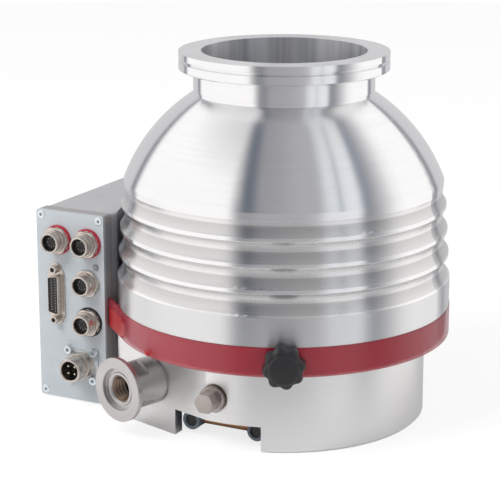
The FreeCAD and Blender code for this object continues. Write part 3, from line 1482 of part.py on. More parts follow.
def make_power_socket():
    spot = (box_side(s.power_left), -s.panel_front, s.power_height)
    body = new_body("power_socket")
    half = s.power_plate / 2
    plate = rounded(-half, -half, half, half, s.panel_corner)
    pad(body, sketch(body, "XY_Plane", [plate]), s.power_plate_thickness)
    pad(body, circle_sketch(body, "XY_Plane", 0, 0, s.power_radius, offset=-s.power_tail),
        s.power_tail + s.power_reach)
    mouth = circle_sketch(body, "XY_Plane", 0, 0, s.power_bore, offset=s.power_floor)
    pocket(body, mouth, s.power_reach - s.power_floor, reverse=True)
    for x in (-1, 1):
        for z in (-1, 1):
            hole = circle_sketch(body, "XY_Plane", s.power_screw_pitch / 2 * x, s.power_screw_pitch / 2 * z,
                                 s.power_screw_radius + s.running_clearance)
            pocket(body, hole, s.power_plate_thickness + s.tool_margin, reverse=True)
    node("power_socket", place(body, spot, FRONT))
    pin = rod("power_pin", s.power_pin_radius, s.power_pin_length, (s.power_pin_circle, 0, s.power_floor))
    step = 360 / s.power_pin_count.number
    turns = [Placement(Vector(), Rotation(UP, step * (k + 0.5)))
             for k in range(int(s.power_pin_count.number))]
    node("power_pins", group("power_pins", pin, [
        at(*spot, FRONT).multiply(turn) for turn in turns]))
    seat = s.power_plate_thickness
    screw = turned("power_screw", [
        (0, seat - s.power_screw_length), (s.power_screw_radius, seat - s.power_screw_length),
        (s.power_screw_radius, seat),
        (s.power_screw_head, seat), (s.power_screw_head, seat + s.power_screw_head_height),
        (0, seat + s.power_screw_head_height)])
    node("power_screws", group("power_screws", screw, [
        at(x, -s.panel_front, z, FRONT) for x, z in power_screw_spots()]))


make_housing()
make_base()
make_joint()
make_band()
make_rotor_discs()
make_stator_discs()
make_spacers()
make_star(make_shaft())
make_drag_stage()
make_motor()
make_bearing()
make_bottom_cover()
make_port()
make_plug()
make_cooling()
make_vent()
make_panel()
make_frame_and_case()
make_board()
make_round_sockets()
make_service_socket()
make_status_lens()
make_power_socket()
doc.recompute()

faults = [item.Name for item in doc.Objects if "Invalid" in item.State or "Error" in item.State]
faults += [name for name, item in nodes.items() if item.Shape.isNull() or not item.Shape.isValid()]
if faults:
    raise SystemExit("failed: " + ", ".join(faults))
os.makedirs("parts", exist_ok=True)
for name, item in nodes.items():
    item.Shape.exportStep("parts/%s.step" % name)
print(len(nodes), "nodes")
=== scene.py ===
"""Looks of the turbomolecular pump: finishes, fine details, studio light and camera."""
import json
import math

import bmesh
import bpy
from mathutils import Matrix, Vector


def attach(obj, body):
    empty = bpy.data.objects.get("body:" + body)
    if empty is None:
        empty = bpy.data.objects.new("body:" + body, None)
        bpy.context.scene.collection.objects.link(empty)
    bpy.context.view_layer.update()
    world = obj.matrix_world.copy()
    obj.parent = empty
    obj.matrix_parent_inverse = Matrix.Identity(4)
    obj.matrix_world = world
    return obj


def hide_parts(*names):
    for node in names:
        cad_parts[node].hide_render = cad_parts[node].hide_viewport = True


MM = 0.001
UP = Vector((0, 0, 1))

# Camera: a long lens that looks down on the pump from its front right
CAMERA_AZIMUTH = 297.473
CAMERA_ELEVATION = 15.024
CAMERA_DISTANCE = 1176.5 * MM
CAMERA_TARGET = Vector((-18.68, -9.71, 102.18)) * MM
CAMERA_LENS = 134.345
SENSOR_WIDTH = 36.0

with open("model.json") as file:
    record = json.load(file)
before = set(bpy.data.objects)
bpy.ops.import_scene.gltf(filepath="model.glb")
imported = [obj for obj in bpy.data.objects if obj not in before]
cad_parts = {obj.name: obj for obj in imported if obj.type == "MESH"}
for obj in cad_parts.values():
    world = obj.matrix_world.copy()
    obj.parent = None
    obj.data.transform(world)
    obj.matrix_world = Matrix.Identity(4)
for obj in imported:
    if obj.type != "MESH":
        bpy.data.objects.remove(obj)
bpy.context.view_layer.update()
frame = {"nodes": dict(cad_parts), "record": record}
nodes = frame["nodes"]


def compass(azimuth):
    """Unit vector in plan, with azimuth in degrees from +X."""
    return Vector((math.cos(math.radians(azimuth)), math.sin(math.radians(azimuth)), 0))


# The middle part of a noise, which spread stretches
NOISE_LOW = 0.3
NOISE_HIGH = 0.7


class Graph:
    """Shader nodes of one material or world, added and linked with short calls."""

    def __init__(self, tree):
        self.tree = tree

    def add(self, kind, inputs=None, **settings):
        item = self.tree.nodes.new("ShaderNode" + kind)
        for name, value in settings.items():
            setattr(item, name, value)
        for socket, value in (inputs or {}).items():
            self.feed(item.inputs[socket], value)
        return item

    def feed(self, socket, value):
        if isinstance(value, bpy.types.NodeSocket):
            self.tree.links.new(value, socket)
        else:
            socket.default_value = value

    def math(self, operation, first, second=0.0):
        return self.add("Math", {0: first, 1: second}, operation=operation).outputs[0]

    def length(self, first, second):
        """Length of a flat vector, from its two parts."""
        return self.math("SQRT", self.math("ADD", self.math("MULTIPLY", first, first),
                                           self.math("MULTIPLY", second, second)))

    def dot(self, vector, direction):
        item = self.add("VectorMath", {0: vector, 1: direction}, operation="DOT_PRODUCT")
        return item.outputs["Value"]

    def noise(self, vector, scale, detail, roughness):
        item = self.add("TexNoise", {"Vector": vector, "Scale": scale, "Detail": detail,
                                     "Roughness": roughness})
        return item.outputs["Fac"]

    def spread(self, factor, low, high):
        """Maps a 0 to 1 noise onto low to high, with its middle part stretched."""
        item = self.add("MapRange", {"Value": factor, "From Min": NOISE_LOW, "From Max": NOISE_HIGH,
                                     "To Min": low, "To Max": high})
        return item.outputs[0]

    def passage(self, value, start, end):
        """0 up to start, 1 from end on, and straight between them. Start may be the larger one."""
        return self.add("MapRange", {"Value": value, "From Min": start, "From Max": end}).outputs[0]

    def blend(self, factor, first, second, how="MIX"):
        """Mix of two colours, which this node takes in its sockets 6 and 7."""
        item = self.add("Mix", data_type="RGBA", blend_type=how)
        self.feed(item.inputs[0], factor)
        self.feed(item.inputs[6], first)
        self.feed(item.inputs[7], second)
        return item.outputs[2]

    def ramp(self, factor, stops):
        item = self.add("ValToRGB", {"Fac": factor})
        elements = item.color_ramp.elements
        elements[0].position, elements[1].position = stops[0][0], stops[-1][0]
        elements[0].color, elements[1].color = stops[0][1], stops[-1][1]
        for position, colour in stops[1:-1]:
            elements.new(position).color = colour
        return item.outputs["Color"]


def rgb(red, green, blue):
    return (red, green, blue, 1.0)


def darker(colour, share):
    return (colour[0] * share, colour[1] * share, colour[2] * share, 1.0)


def new_material(name):
    material = bpy.data.materials.new(name)
    material.use_nodes = True
    graph = Graph(material.node_tree)
    shader = material.node_tree.nodes["Principled BSDF"]
    return material, graph, shader


def mottled(graph, noise, colour, tone):
    """A colour that turns darker, down to a share of itself, where the noise is high."""
    return graph.blend(graph.spread(noise, 0.0, 1.0), colour, darker(colour, tone))


BEVEL_SAMPLES = 4


def edge_normal(graph, height, strength, depth, edge):
    """Bump from a height, over edges that catch light as a small rounding would."""
    rounding = graph.add("Bevel", {"Radius": edge}, samples=BEVEL_SAMPLES)
    bump = graph.add("Bump", {"Height": height, "Strength": strength, "Distance": depth,
                              "Normal": rounding.outputs[0]})
    return bump.outputs[0]


# Ridges of the housing, from the CAD: the lands step in by one step each pitch
SKIRT_RADIUS = 104.6 * MM
SKIRT_EDGE = 89.0 * MM
RIDGE_PITCH = 15.2 * MM
RIDGE_SLOPE = 1.05 * MM / RIDGE_PITCH
RIDGE_TOP = 145.5 * MM
HOLLOW_START = 0.02 * MM
HOLLOW_FULL = 0.3 * MM
INLET_BORE = 51.5 * MM
INLET_LOW = 190.0 * MM
# Painted shade of a hollow: its tones from the top of one land up to the next, as shares of the pitch
RIDGE_SHADE_TONES = [
    (0.0, 0.97), (0.055, 0.97), (0.085, 0.76), (0.18, 0.72), (0.30, 0.67), (0.42, 0.64), (0.50, 0.63),
    (0.54, 0.84), (0.60, 0.86), (0.70, 0.80), (0.82, 0.66), (0.88, 0.64), (0.925, 0.97), (1.0, 0.97),
]
RIDGE_GREEN = 0.985
RIDGE_BLUE = 0.98


def inlet_wall(graph, radius, height):
    """1 on the wall of the inlet bore, 0 elsewhere."""
    return graph.math("MULTIPLY", graph.math("LESS_THAN", radius, INLET_BORE),
                      graph.math("GREATER_THAN", height, INLET_LOW))


def ridge_grooves(graph, radius, height):
    """1 in the hollows between the ridges, 0 on their lands and elsewhere."""
    land = graph.math("SUBTRACT", SKIRT_RADIUS + SKIRT_EDGE * RIDGE_SLOPE,
                      graph.math("MULTIPLY", height, RIDGE_SLOPE))
    hollow = graph.passage(graph.math("SUBTRACT", land, radius), HOLLOW_START, HOLLOW_FULL)
    below = graph.math("LESS_THAN", height, RIDGE_TOP)
    above = graph.math("GREATER_THAN", height, SKIRT_EDGE)
    return graph.math("MULTIPLY", hollow, graph.math("MULTIPLY", below, above))


def ridge_painted_shade(graph, height):
    """Colour of the hollows, painted shade which repeats with the ridges: each has a lighter and a darker
    band of painted shade.
    """
    share = graph.math("FRACT", graph.math("DIVIDE", graph.math("SUBTRACT", height, SKIRT_EDGE),
                                           RIDGE_PITCH))
    return graph.ramp(share, [(at, rgb(tone, tone * RIDGE_GREEN, tone * RIDGE_BLUE))
                              for at, tone in RIDGE_SHADE_TONES])


# Zones of the housing: tone or colour, and how much rougher and less metallic each is than the rest
GROOVE_ROUGHNESS = 0.07
SKIRT_TONE = 0.83
SKIRT_ROUGHNESS = 0.12
INLET_STREAK = rgb(0.42, 0.435, 0.48)
INLET_ROUGHNESS = 0.16
INLET_DULLNESS = 0.14
# The hidden parts of the hollows are those from which other surfaces cover much of the view. They get
# painted shade, and are rougher and less metallic.
NEAR_DISTANCE = 100.0 * MM
NEAR_SAMPLES = 16
OPEN_START = 0.82
OPEN_END = 0.5
OCCLUDED_SHADE_COLOUR = rgb(0.22, 0.235, 0.265)
HIDDEN_ROUGHNESS = 0.3
HIDDEN_DULLNESS = 0.75
# Noises, each by its scale, detail and roughness
MARKS = (5200.0, 2.0, 0.6)
STREAKS = (420.0, 3.0, 0.6)
BLOTCHES = (22.0, 2.0, 0.5)
INLET_STREAKS = (3.4, 3.0, 0.62)
# The marks run round the axis: a radian changes their pattern as little as this length does
TURN_STEP = 0.003
STREAK_TONE = 0.97
BLOTCH_TONE = 0.965
BLOTCH_SHARE = 0.4
MARK_ROUGHNESS = 0.02
STREAK_ROUGHNESS = 0.015
MARK_STRENGTH = 0.3
TURNED_EDGE = 0.3 * MM
QUARTER_TURN = 0.25


def housing_zones(graph, shade, rough, skirt_colour, place):
    """Colour, roughness and dullness of the housing, which change in its hollows, skirt and bore. The
    hollows get painted shade: bands that repeat with the ridges, and darker parts where they are hidden.
    """
    radius, height, turn = place
    inside = ridge_grooves(graph, radius, height)
    # Painted shade in the hollows, in bands that repeat with the ridges
    shade = graph.blend(inside, shade, ridge_painted_shade(graph, height))
    # Painted shade: where ambient occlusion finds a hollow hidden, it is painted dark
    near = graph.add("AmbientOcclusion", {"Distance": NEAR_DISTANCE}, samples=NEAR_SAMPLES).outputs["AO"]
    occluded_shade = graph.math("MULTIPLY", inside, graph.passage(near, OPEN_START, OPEN_END))
    shade = graph.blend(occluded_shade, shade, OCCLUDED_SHADE_COLOUR)
    skirt = graph.math("LESS_THAN", height, SKIRT_EDGE)
    shade = graph.blend(skirt, shade, skirt_colour)
    wall = inlet_wall(graph, radius, height)
    streaks = graph.noise(graph.add("CombineXYZ", {0: turn}).outputs[0], *INLET_STREAKS)
    shade = graph.blend(graph.math("MULTIPLY", wall, graph.spread(streaks, 0.0, 1.0)), shade,
                        INLET_STREAK)
    for zone, more in ((inside, GROOVE_ROUGHNESS), (occluded_shade, HIDDEN_ROUGHNESS),
                       (skirt, SKIRT_ROUGHNESS), (wall, INLET_ROUGHNESS)):
        rough = graph.math("ADD", rough, graph.math("MULTIPLY", zone, more))
    dull = graph.math("MAXIMUM", graph.math("MULTIPLY", wall, INLET_DULLNESS),
                      graph.math("MULTIPLY", occluded_shade, HIDDEN_DULLNESS))
    return shade, rough, dull


def turned_metal(name, colour, roughness, anisotropy, mark_depth, housing=False):
    """Metal turned about the pump axis: fine marks and wider streaks run round it."""
    material, graph, shader = new_material(name)
    place = graph.add("TexCoord").outputs["Object"]
    parts = graph.add("SeparateXYZ", {0: place}).outputs
    radius = graph.length(parts[0], parts[1])
    turn = graph.math("ARCTAN2", parts[1], parts[0])
    track = graph.add("CombineXYZ", {0: radius, 1: parts[2],
                                     2: graph.math("MULTIPLY", turn, TURN_STEP)}).outputs[0]
    fine = graph.noise(track, *MARKS)
    wide = graph.noise(track, *STREAKS)
    blotch = graph.noise(place, *BLOTCHES)
    shade = mottled(graph, wide, colour, STREAK_TONE)
    shade = graph.blend(graph.spread(blotch, 0.0, BLOTCH_SHARE), shade, darker(colour, BLOTCH_TONE))
    rough = graph.math("ADD", graph.spread(fine, roughness - MARK_ROUGHNESS, roughness + MARK_ROUGHNESS),
                       graph.spread(wide, -STREAK_ROUGHNESS, STREAK_ROUGHNESS))
    shader.inputs["Metallic"].default_value = 1.0
    if housing:
        shade, rough, dull = housing_zones(graph, shade, rough, darker(colour, SKIRT_TONE),
                                           (radius, parts[2], turn))
        graph.feed(shader.inputs["Metallic"], graph.math("SUBTRACT", 1.0, dull))
    graph.feed(shader.inputs["Base Color"], shade)
    graph.feed(shader.inputs["Roughness"], rough)
    shader.inputs["Anisotropic"].default_value = anisotropy
    shader.inputs["Anisotropic Rotation"].default_value = QUARTER_TURN
    around = graph.add("CombineXYZ", {0: graph.math("MULTIPLY", parts[1], -1.0), 1: parts[0]})
    graph.feed(shader.inputs["Tangent"], around.outputs[0])
    graph.feed(shader.inputs["Normal"], edge_normal(graph, fine, MARK_STRENGTH, mark_depth, TURNED_EDGE))
    return material


# Small metal parts. A relief is given by its strength, its depth and the rounding of the edges.
METAL_GRAIN = (900.0, 3.0, 0.6)
METAL_CLOUDS = (60.0, 2.0, 0.5)
METAL_TONE = 0.94
METAL_GRAIN_ROUGHNESS = 0.025
METAL_CLOUD_ROUGHNESS = 0.03
METAL_RELIEF = (0.1, 0.02 * MM, 0.25 * MM)


def plain_metal(name, colour, roughness):
    """Metal of small parts: even finish, with fine grain and cloudy roughness."""
    material, graph, shader = new_material(name)
    place = graph.add("TexCoord").outputs["Object"]
    fine = graph.noise(place, *METAL_GRAIN)
    cloud = graph.noise(place, *METAL_CLOUDS)
    rough = graph.math("ADD", graph.spread(fine, roughness - METAL_GRAIN_ROUGHNESS,
                                           roughness + METAL_GRAIN_ROUGHNESS),
                       graph.spread(cloud, -METAL_CLOUD_ROUGHNESS, METAL_CLOUD_ROUGHNESS))
    graph.feed(shader.inputs["Base Color"], mottled(graph, cloud, colour, METAL_TONE))
    graph.feed(shader.inputs["Roughness"], rough)
    shader.inputs["Metallic"].default_value = 1.0
    graph.feed(shader.inputs["Normal"], edge_normal(graph, fine, *METAL_RELIEF))
    return material


# Paint and plastic. Detail and roughness of the fine noise, whose scale the finish gives.
COATING_GRAIN = (4.0, 0.65)
COATING_CLOUDS = (45.0, 3.0, 0.5)
COATING_TONE = 0.92
COATING_GRAIN_ROUGHNESS = 0.06
COATING_STRENGTH = 0.3
COATING_EDGE = 0.3 * MM
COAT_ROUGHNESS = 0.15


def coating(name, colour, roughness, grain=700.0, depth=0.03 * MM, coat=0.0):
    """Paint or moulded plastic: fine texture, slight change of tone and soft edges."""
    material, graph, shader = new_material(name)
    place = graph.add("TexCoord").outputs["Object"]
    fine = graph.noise(place, grain, *COATING_GRAIN)
    cloud = graph.noise(place, *COATING_CLOUDS)
    graph.feed(shader.inputs["Base Color"], mottled(graph, cloud, colour, COATING_TONE))
    graph.feed(shader.inputs["Roughness"], graph.spread(fine, roughness - COATING_GRAIN_ROUGHNESS,
                                                        roughness + COATING_GRAIN_ROUGHNESS))
    shader.inputs["Coat Weight"].default_value = coat
    shader.inputs["Coat Roughness"].default_value = COAT_ROUGHNESS
    graph.feed(shader.inputs["Normal"], edge_normal(graph, fine, COATING_STRENGTH, depth, COATING_EDGE))
    return material


def clear_plastic(name, colour, alpha, roughness):
    material = coating(name, colour, roughness, grain=500.0, depth=0.01 * MM, coat=0.3)
    material.node_tree.nodes["Principled BSDF"].inputs["Alpha"].default_value = alpha
    return material


# Trim band. Places along it count from where its straight ends begin, and are negative on its
# round part. The clips that show through it are drawn a few millimetres longer than their solids.
BAND_TURN = math.radians(132.5)
CLIP_START = 6.5 * MM
CLIP_LENGTH = 27.7 * MM
CLIP_HEIGHT = 13.5 * MM
NUB_LENGTH = 6.5 * MM
NUB_HEIGHT = 9.0 * MM
CLIP_MIDDLE = 59.6 * MM
CLIP_SOFTNESS = 0.25 * MM
PEG_TURN = math.radians(115.4)
PEG_HEIGHT = 54.6 * MM
PEG_RADIUS = 1.9 * MM
PEG_SOFTNESS = 0.15
CLIP_COLOUR = rgb(0.45, 0.008, 0.01)
# Towards its ends the band is painted paler, a painted sheen, and shows more of what is behind
BAND_END_START = -85.0 * MM
BAND_END_FULL = -25.0 * MM
BAND_END_SHEEN_COLOUR = rgb(0.50, 0.025, 0.055)
BAND_END_THINNING = 0.1
BAND_GRAIN = (420.0, 2.0, 0.5)
BAND_CLOUDS = (30.0, 2.0, 0.5)
BAND_TONE = 0.94
BAND_GRAIN_ROUGHNESS = 0.02
BAND_COAT = 0.5
BAND_COAT_ROUGHNESS = 0.2
BAND_RELIEF = (0.1, 0.004 * MM, 0.2 * MM)


def behind_band(graph, parts):
    """How far along the band a place is, and 1 where a clip or peg is behind it."""
    side = graph.math("ABSOLUTE", parts[1])

    def toward(along_x, along_side):
        return graph.math("ADD", graph.math("MULTIPLY", parts[0], along_x),
                          graph.math("MULTIPLY", side, along_side))

    def within(value, middle, half):
        away = graph.math("ABSOLUTE", graph.math("SUBTRACT", value, middle))
        return graph.passage(away, half + CLIP_SOFTNESS, half - CLIP_SOFTNESS)

    run = toward(-math.sin(BAND_TURN), math.cos(BAND_TURN))
    block = graph.math("MULTIPLY", within(run, CLIP_START + CLIP_LENGTH / 2, CLIP_LENGTH / 2),
                       within(parts[2], CLIP_MIDDLE, CLIP_HEIGHT / 2))
    nub = graph.math("MULTIPLY", within(run, CLIP_START - NUB_LENGTH / 2, NUB_LENGTH / 2),
                     within(parts[2], CLIP_MIDDLE, NUB_HEIGHT / 2))
    aside = toward(math.sin(PEG_TURN), -math.cos(PEG_TURN))
    away = graph.length(aside, graph.math("SUBTRACT", parts[2], PEG_HEIGHT))
    peg = graph.passage(away, PEG_RADIUS * (1 + PEG_SOFTNESS), PEG_RADIUS * (1 - PEG_SOFTNESS))
    return run, graph.math("MAXIMUM", peg, graph.math("MAXIMUM", block, nub))


def band_plastic(name, colour, alpha, roughness):
    """Tinted plastic, through which the brighter clips and pegs behind it show, with a painted sheen towards
    its ends.
    """
    material, graph, shader = new_material(name)
    place = graph.add("TexCoord").outputs["Object"]
    run, behind = behind_band(graph, graph.add("SeparateXYZ", {0: place}).outputs)
    fine = graph.noise(place, *BAND_GRAIN)
    cloud = graph.noise(place, *BAND_CLOUDS)
    # Painted sheen: towards its ends the band's colour turns paler, and it also lets more through there
    end_sheen_and_thinning = graph.passage(run, BAND_END_START, BAND_END_FULL)
    tint = graph.blend(end_sheen_and_thinning, mottled(graph, cloud, colour, BAND_TONE), BAND_END_SHEEN_COLOUR)
    graph.feed(shader.inputs["Base Color"], graph.blend(behind, tint, CLIP_COLOUR))
    cover = graph.math("SUBTRACT", alpha, graph.math("MULTIPLY", end_sheen_and_thinning, BAND_END_THINNING))
    graph.feed(shader.inputs["Alpha"], graph.math("MAXIMUM", cover, behind))
    graph.feed(shader.inputs["Roughness"], graph.spread(fine, roughness - BAND_GRAIN_ROUGHNESS,
                                                        roughness + BAND_GRAIN_ROUGHNESS))
    shader.inputs["Coat Weight"].default_value = BAND_COAT
    shader.inputs["Coat Roughness"].default_value = BAND_COAT_ROUGHNESS
    graph.feed(shader.inputs["Normal"], edge_normal(graph, fine, *BAND_RELIEF))
    return material


# Finishes, by the record's slot names
FINISHES = {
    "turned_aluminium": turned_metal("turned_aluminium", rgb(0.93, 0.93, 0.935), 0.2, anisotropy=0.85,
                                     mark_depth=0.002 * MM, housing=True),
    "satin_aluminium": turned_metal("satin_aluminium", rgb(0.86, 0.855, 0.85), 0.4, anisotropy=0.5,
                                    mark_depth=0.003 * MM),
    "crimson_plastic": band_plastic("crimson_plastic", rgb(0.40, 0.008, 0.028), 0.6, 0.32),
    "red_plastic": coating("red_plastic", rgb(0.78, 0.015, 0.015), 0.4),
    "blade_aluminium": plain_metal("blade_aluminium", rgb(0.78, 0.78, 0.79), 0.3),
    "shaft_steel": plain_metal("shaft_steel", rgb(0.6, 0.6, 0.61), 0.2),
    "magnet": plain_metal("magnet", rgb(0.35, 0.35, 0.37), 0.35),
    "winding": coating("winding", rgb(0.30, 0.09, 0.03), 0.4),
    "rubber_black": coating("rubber_black", rgb(0.02, 0.02, 0.021), 0.6),
    "felt": coating("felt", rgb(0.75, 0.72, 0.62), 0.95, grain=1800.0, depth=0.2 * MM),
    "zinc_screw": plain_metal("zinc_screw", rgb(0.80, 0.86, 0.90), 0.3),
    "port_steel": plain_metal("port_steel", rgb(0.60, 0.58, 0.57), 0.33),
    "plug_steel": plain_metal("plug_steel", rgb(0.47, 0.42, 0.40), 0.3),
    "washer_copper": plain_metal("washer_copper", rgb(0.30, 0.22, 0.17), 0.4),
    "copper": plain_metal("copper", rgb(0.36, 0.18, 0.09), 0.4),
    "socket_blue": coating("socket_blue", rgb(0.11, 0.135, 0.16), 0.4),
    "stopper_black": coating("stopper_black", rgb(0.02, 0.02, 0.022), 0.5),
    "knob_black": coating("knob_black", rgb(0.017, 0.016, 0.018), 0.42),
    "panel_grey": coating("panel_grey", rgb(0.52, 0.56, 0.59), 0.42),
    "frame_grey": coating("frame_grey", rgb(0.36, 0.335, 0.345), 0.45),
    "case_grey": coating("case_grey", rgb(0.50, 0.50, 0.52), 0.5),
    "board_green": coating("board_green", rgb(0.02, 0.12, 0.05), 0.35),
    "connector_nickel": plain_metal("connector_nickel", rgb(0.68, 0.62, 0.565), 0.29),
    "insert_black": coating("insert_black", rgb(0.018, 0.018, 0.019), 0.5),
    "ring_red": coating("ring_red", rgb(0.48, 0.02, 0.04), 0.35),
    "lens_clear": clear_plastic("lens_clear", rgb(0.35, 0.37, 0.39), 0.8, 0.12),
    "gold_pin": plain_metal("gold_pin", rgb(0.88, 0.82, 0.66), 0.25),
}


def finish_nodes():
    """Gives every CAD node the finish that the record names for it."""
    slots = {part["node"]: part["material_slot"] for part in frame["record"]["subparts"]}
    for name, item in nodes.items():
        item.data.materials.clear()
        item.data.materials.append(FINISHES[slots[name]])


BROKEN_EDGE = 0.7 * MM
BROKEN_ANGLE = math.radians(50)


def round_edges(name):
    """Breaks the sharp edges of a solid, as the real casting has them."""
    bevel = nodes[name].modifiers.new("broken_edges", "BEVEL")
    bevel.width = BROKEN_EDGE
    bevel.segments = 2
    bevel.limit_method = "ANGLE"
    bevel.angle_limit = BROKEN_ANGLE
    bevel.harden_normals = True


# Places from the CAD, in millimetres. On the panel they are its face and the x and z of each axis,
# for the round sockets also how far out they stand. Elsewhere they are a foot and a direction.
PANEL_FACE = -57.0
ROUND_SPOTS = [(-131.1, 106.5, 1.6), (-109.1, 106.5, 1.6), (-110.0, 80.5, 0.0), (-109.5, 54.7, 0.8)]
SERVICE_SPOT = (-133.1, 70.7)
POWER_SPOT = (-115.1, 25.6)
PANEL_SCREW_SPOTS = [(x, z) for x in (-143.9, -101.1) for z in (4.3, 121.5)]
FRONT = Vector((0, -1, 0))
PORT_OUT = compass(253.0)
PORT_SPOT = PORT_OUT * 87.6 + compass(163.0) * 29.2 + UP * 30.7
PLUG_SPOT = Vector((-1.7, -88.5, 31.5))
VENT_OUT = compass(296.7)
KNOB_SPOT = VENT_OUT * 106.5 + UP * 62.0


def seat(spot, outward):
    """Matrix that puts a shape's own Z along outward and its Y upwards, in millimetres."""
    along = Vector(outward).normalized()
    right = UP.cross(along).normalized()
    rows = Matrix((right, along.cross(right), along)).transposed().to_4x4()
    return Matrix.Scale(MM, 4) @ Matrix.Translation(Vector(spot)) @ rows


def on_panel(x, z, lift=0.0):
    return seat((x, PANEL_FACE - lift, z), FRONT)


def ring_faces(near, far, count):
    """Faces that join two rows of count corners, each row closed on itself."""
    faces = []
    for row in range(count):
        following = (row + 1) % count
        faces.append((near + row, far + row, far + following, near + following))
    return faces


def turned_shape(profile, steps=64, rule=None):
    """Closed profile turned about Z. A rule may move each point, from its radius, height and angle."""
    vertices = []
    faces = []
    count = len(profile)
    for step in range(steps):
        angle = 2 * math.pi * step / steps
        for radius, height in profile:
            if rule:
                radius, height = rule(radius, height, angle)
            vertices.append(Vector((radius * math.cos(angle), radius * math.sin(angle), height)))
        faces += ring_faces(step * count, (step + 1) % steps * count, count)
    return vertices, faces


def pushed_shape(rings):
    """Skin over outlines of equal length, each a list of corners, with both ends closed."""
    count = len(rings[0])
    vertices = [Vector(corner) for ring in rings for corner in ring]
    faces = [tuple(range(count)), tuple(range(len(vertices) - count, len(vertices)))]
    for level in range(len(rings) - 1):
        faces += ring_faces(level * count, (level + 1) * count, count)
    return vertices, faces


def tube_between(outer, inner):
    """Walls between outer outlines and inner ones: both are walked from the panel outwards."""
    rings = outer + inner[::-1]
    count = len(rings[0])
    vertices = [Vector(corner) for ring in rings for corner in ring]
    faces = []
    for level in range(len(rings)):
        faces += ring_faces(level * count, (level + 1) % len(rings) * count, count)
    return vertices, faces


MERGE_DISTANCE = 0.0005 * MM


def piece(name, finish, shapes, body="root", replaced=(), crease=32.0):
    """One mesh from shapes, each with its matrices, that rides on a body."""
    build = bmesh.new()
    for (vertices, faces), matrices in shapes:
        for matrix in matrices:
            made = [build.verts.new(matrix @ vertex) for vertex in vertices]
            for face in faces:
                build.faces.new([made[corner] for corner in face])
    bmesh.ops.remove_doubles(build, verts=build.verts, dist=MERGE_DISTANCE)
    bmesh.ops.dissolve_degenerate(build, edges=build.edges, dist=MERGE_DISTANCE)
    bmesh.ops.recalc_face_normals(build, faces=build.faces)
    mesh = bpy.data.meshes.new(name)
    build.to_mesh(mesh)
    build.free()
    mesh.shade_smooth()
    mesh.set_sharp_from_angle(angle=math.radians(crease))
    mesh.materials.append(FINISHES[finish])
    item = bpy.data.objects.new(name, mesh)
    bpy.context.scene.collection.objects.link(item)
    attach(item, body)
    if replaced:
        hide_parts(*replaced)
    return item


# Within this distance, a rule takes a point to be at a radius or a height
NEAR = 0.01


def hex_reach(across, angle):
    """Distance from the middle of a hexagon to its edge, at an angle."""
    return across / 2 / math.cos((angle % (math.pi / 3)) - math.pi / 6)


CHAMFER_SLOPE = 0.55


def chamfered_hex(across, corner):
    """Rule that brings points at or beyond the corner radius onto a hexagon.

    They sit lower towards its corners, unless they are at height 0.
    """
    def rule(radius, height, angle):
        if radius < corner:
            return radius, height
        reach = min(hex_reach(across, angle), corner)
        return reach, height - (reach - across / 2) * CHAMFER_SLOPE * (height > NEAR)
    return rule


def thread(radius, depth, start, end, pitch):
    """Profile points of a thread's ridges, drawn as rings, from one height to another."""
    turns = int(abs(end - start) / pitch)
    step = (end - start) / turns
    points = []
    for turn in range(turns):
        points.append((radius, start + step * turn))
        points.append((radius - depth, start + step * (turn + 0.5)))
    return points


# How many steps a shape is turned in, from the smallest to the largest
CONTACT_STEPS = 12
SMALL_STEPS = 24
SCREW_STEPS = 48
BARREL_STEPS = 80
PORT_STEPS = 120
KNOB_STEPS = 160
# Hexagons have a multiple of six
HEX_STEPS = 72
# Radius of the flat end of a socket contact
CONTACT_FACE = 0.28


def contact_shape(hole, radius, depth, rise):
    """Socket contact: a ring with a broken edge, from depth below its spot to rise above it."""
    return turned_shape([(hole, -depth), (radius, -depth), (radius, rise - 0.04), (CONTACT_FACE, rise),
                         (hole, rise)], CONTACT_STEPS)


# Round sockets
ROUND_BARREL = 6.6
ROUND_BORE = 5.1
ROUND_REACH = 10.0
ROUND_TAIL = 9.0
ROUND_CHAMFER = 0.45
ROUND_THREAD_DEPTH = 0.25
ROUND_THREAD_PITCH = 0.9
NUT_ACROSS = 16.6
NUT_CORNER = 8.95
NUT_THICKNESS = 3.0
WASHER_RADIUS = 8.6
WASHER_THICKNESS = 0.5
COLLAR_RADIUS = 7.6
COLLAR_HEIGHT = 5.0
CORE_RECESS = 3.4
CONTACT_CIRCLE = 2.9
CONTACT_COUNT = 8


def round_socket_profiles():
    """Profiles of washer, barrel, collar and nut."""
    face = ROUND_REACH
    washer = [(ROUND_BARREL, 0.0), (WASHER_RADIUS, 0.0), (WASHER_RADIUS, WASHER_THICKNESS - 0.15),
              (WASHER_RADIUS - 0.15, WASHER_THICKNESS), (ROUND_BARREL, WASHER_THICKNESS)]
    barrel = [(ROUND_BORE, -ROUND_TAIL), (ROUND_BARREL, -ROUND_TAIL), (ROUND_BARREL, COLLAR_HEIGHT + 0.4)]
    barrel += thread(ROUND_BARREL, ROUND_THREAD_DEPTH, COLLAR_HEIGHT + 0.5, face - 2.0, ROUND_THREAD_PITCH)
    barrel += [(ROUND_BARREL, face - 1.9), (ROUND_BARREL, face - ROUND_CHAMFER),
               (ROUND_BARREL - ROUND_CHAMFER, face), (ROUND_BORE + 0.35, face), (ROUND_BORE, face - 0.5)]
    collar = [(ROUND_BARREL, NUT_THICKNESS - 0.5), (COLLAR_RADIUS, NUT_THICKNESS - 0.5),
              (COLLAR_RADIUS, COLLAR_HEIGHT - 0.5), (COLLAR_RADIUS - 0.4, COLLAR_HEIGHT),
              (ROUND_BARREL, COLLAR_HEIGHT)]
    nut = [(ROUND_BARREL, 0.0), (NUT_CORNER, 0.0), (NUT_CORNER, NUT_THICKNESS),
           (NUT_ACROSS / 2 - 0.3, NUT_THICKNESS), (ROUND_BARREL, NUT_THICKNESS)]
    return washer, barrel, collar, nut


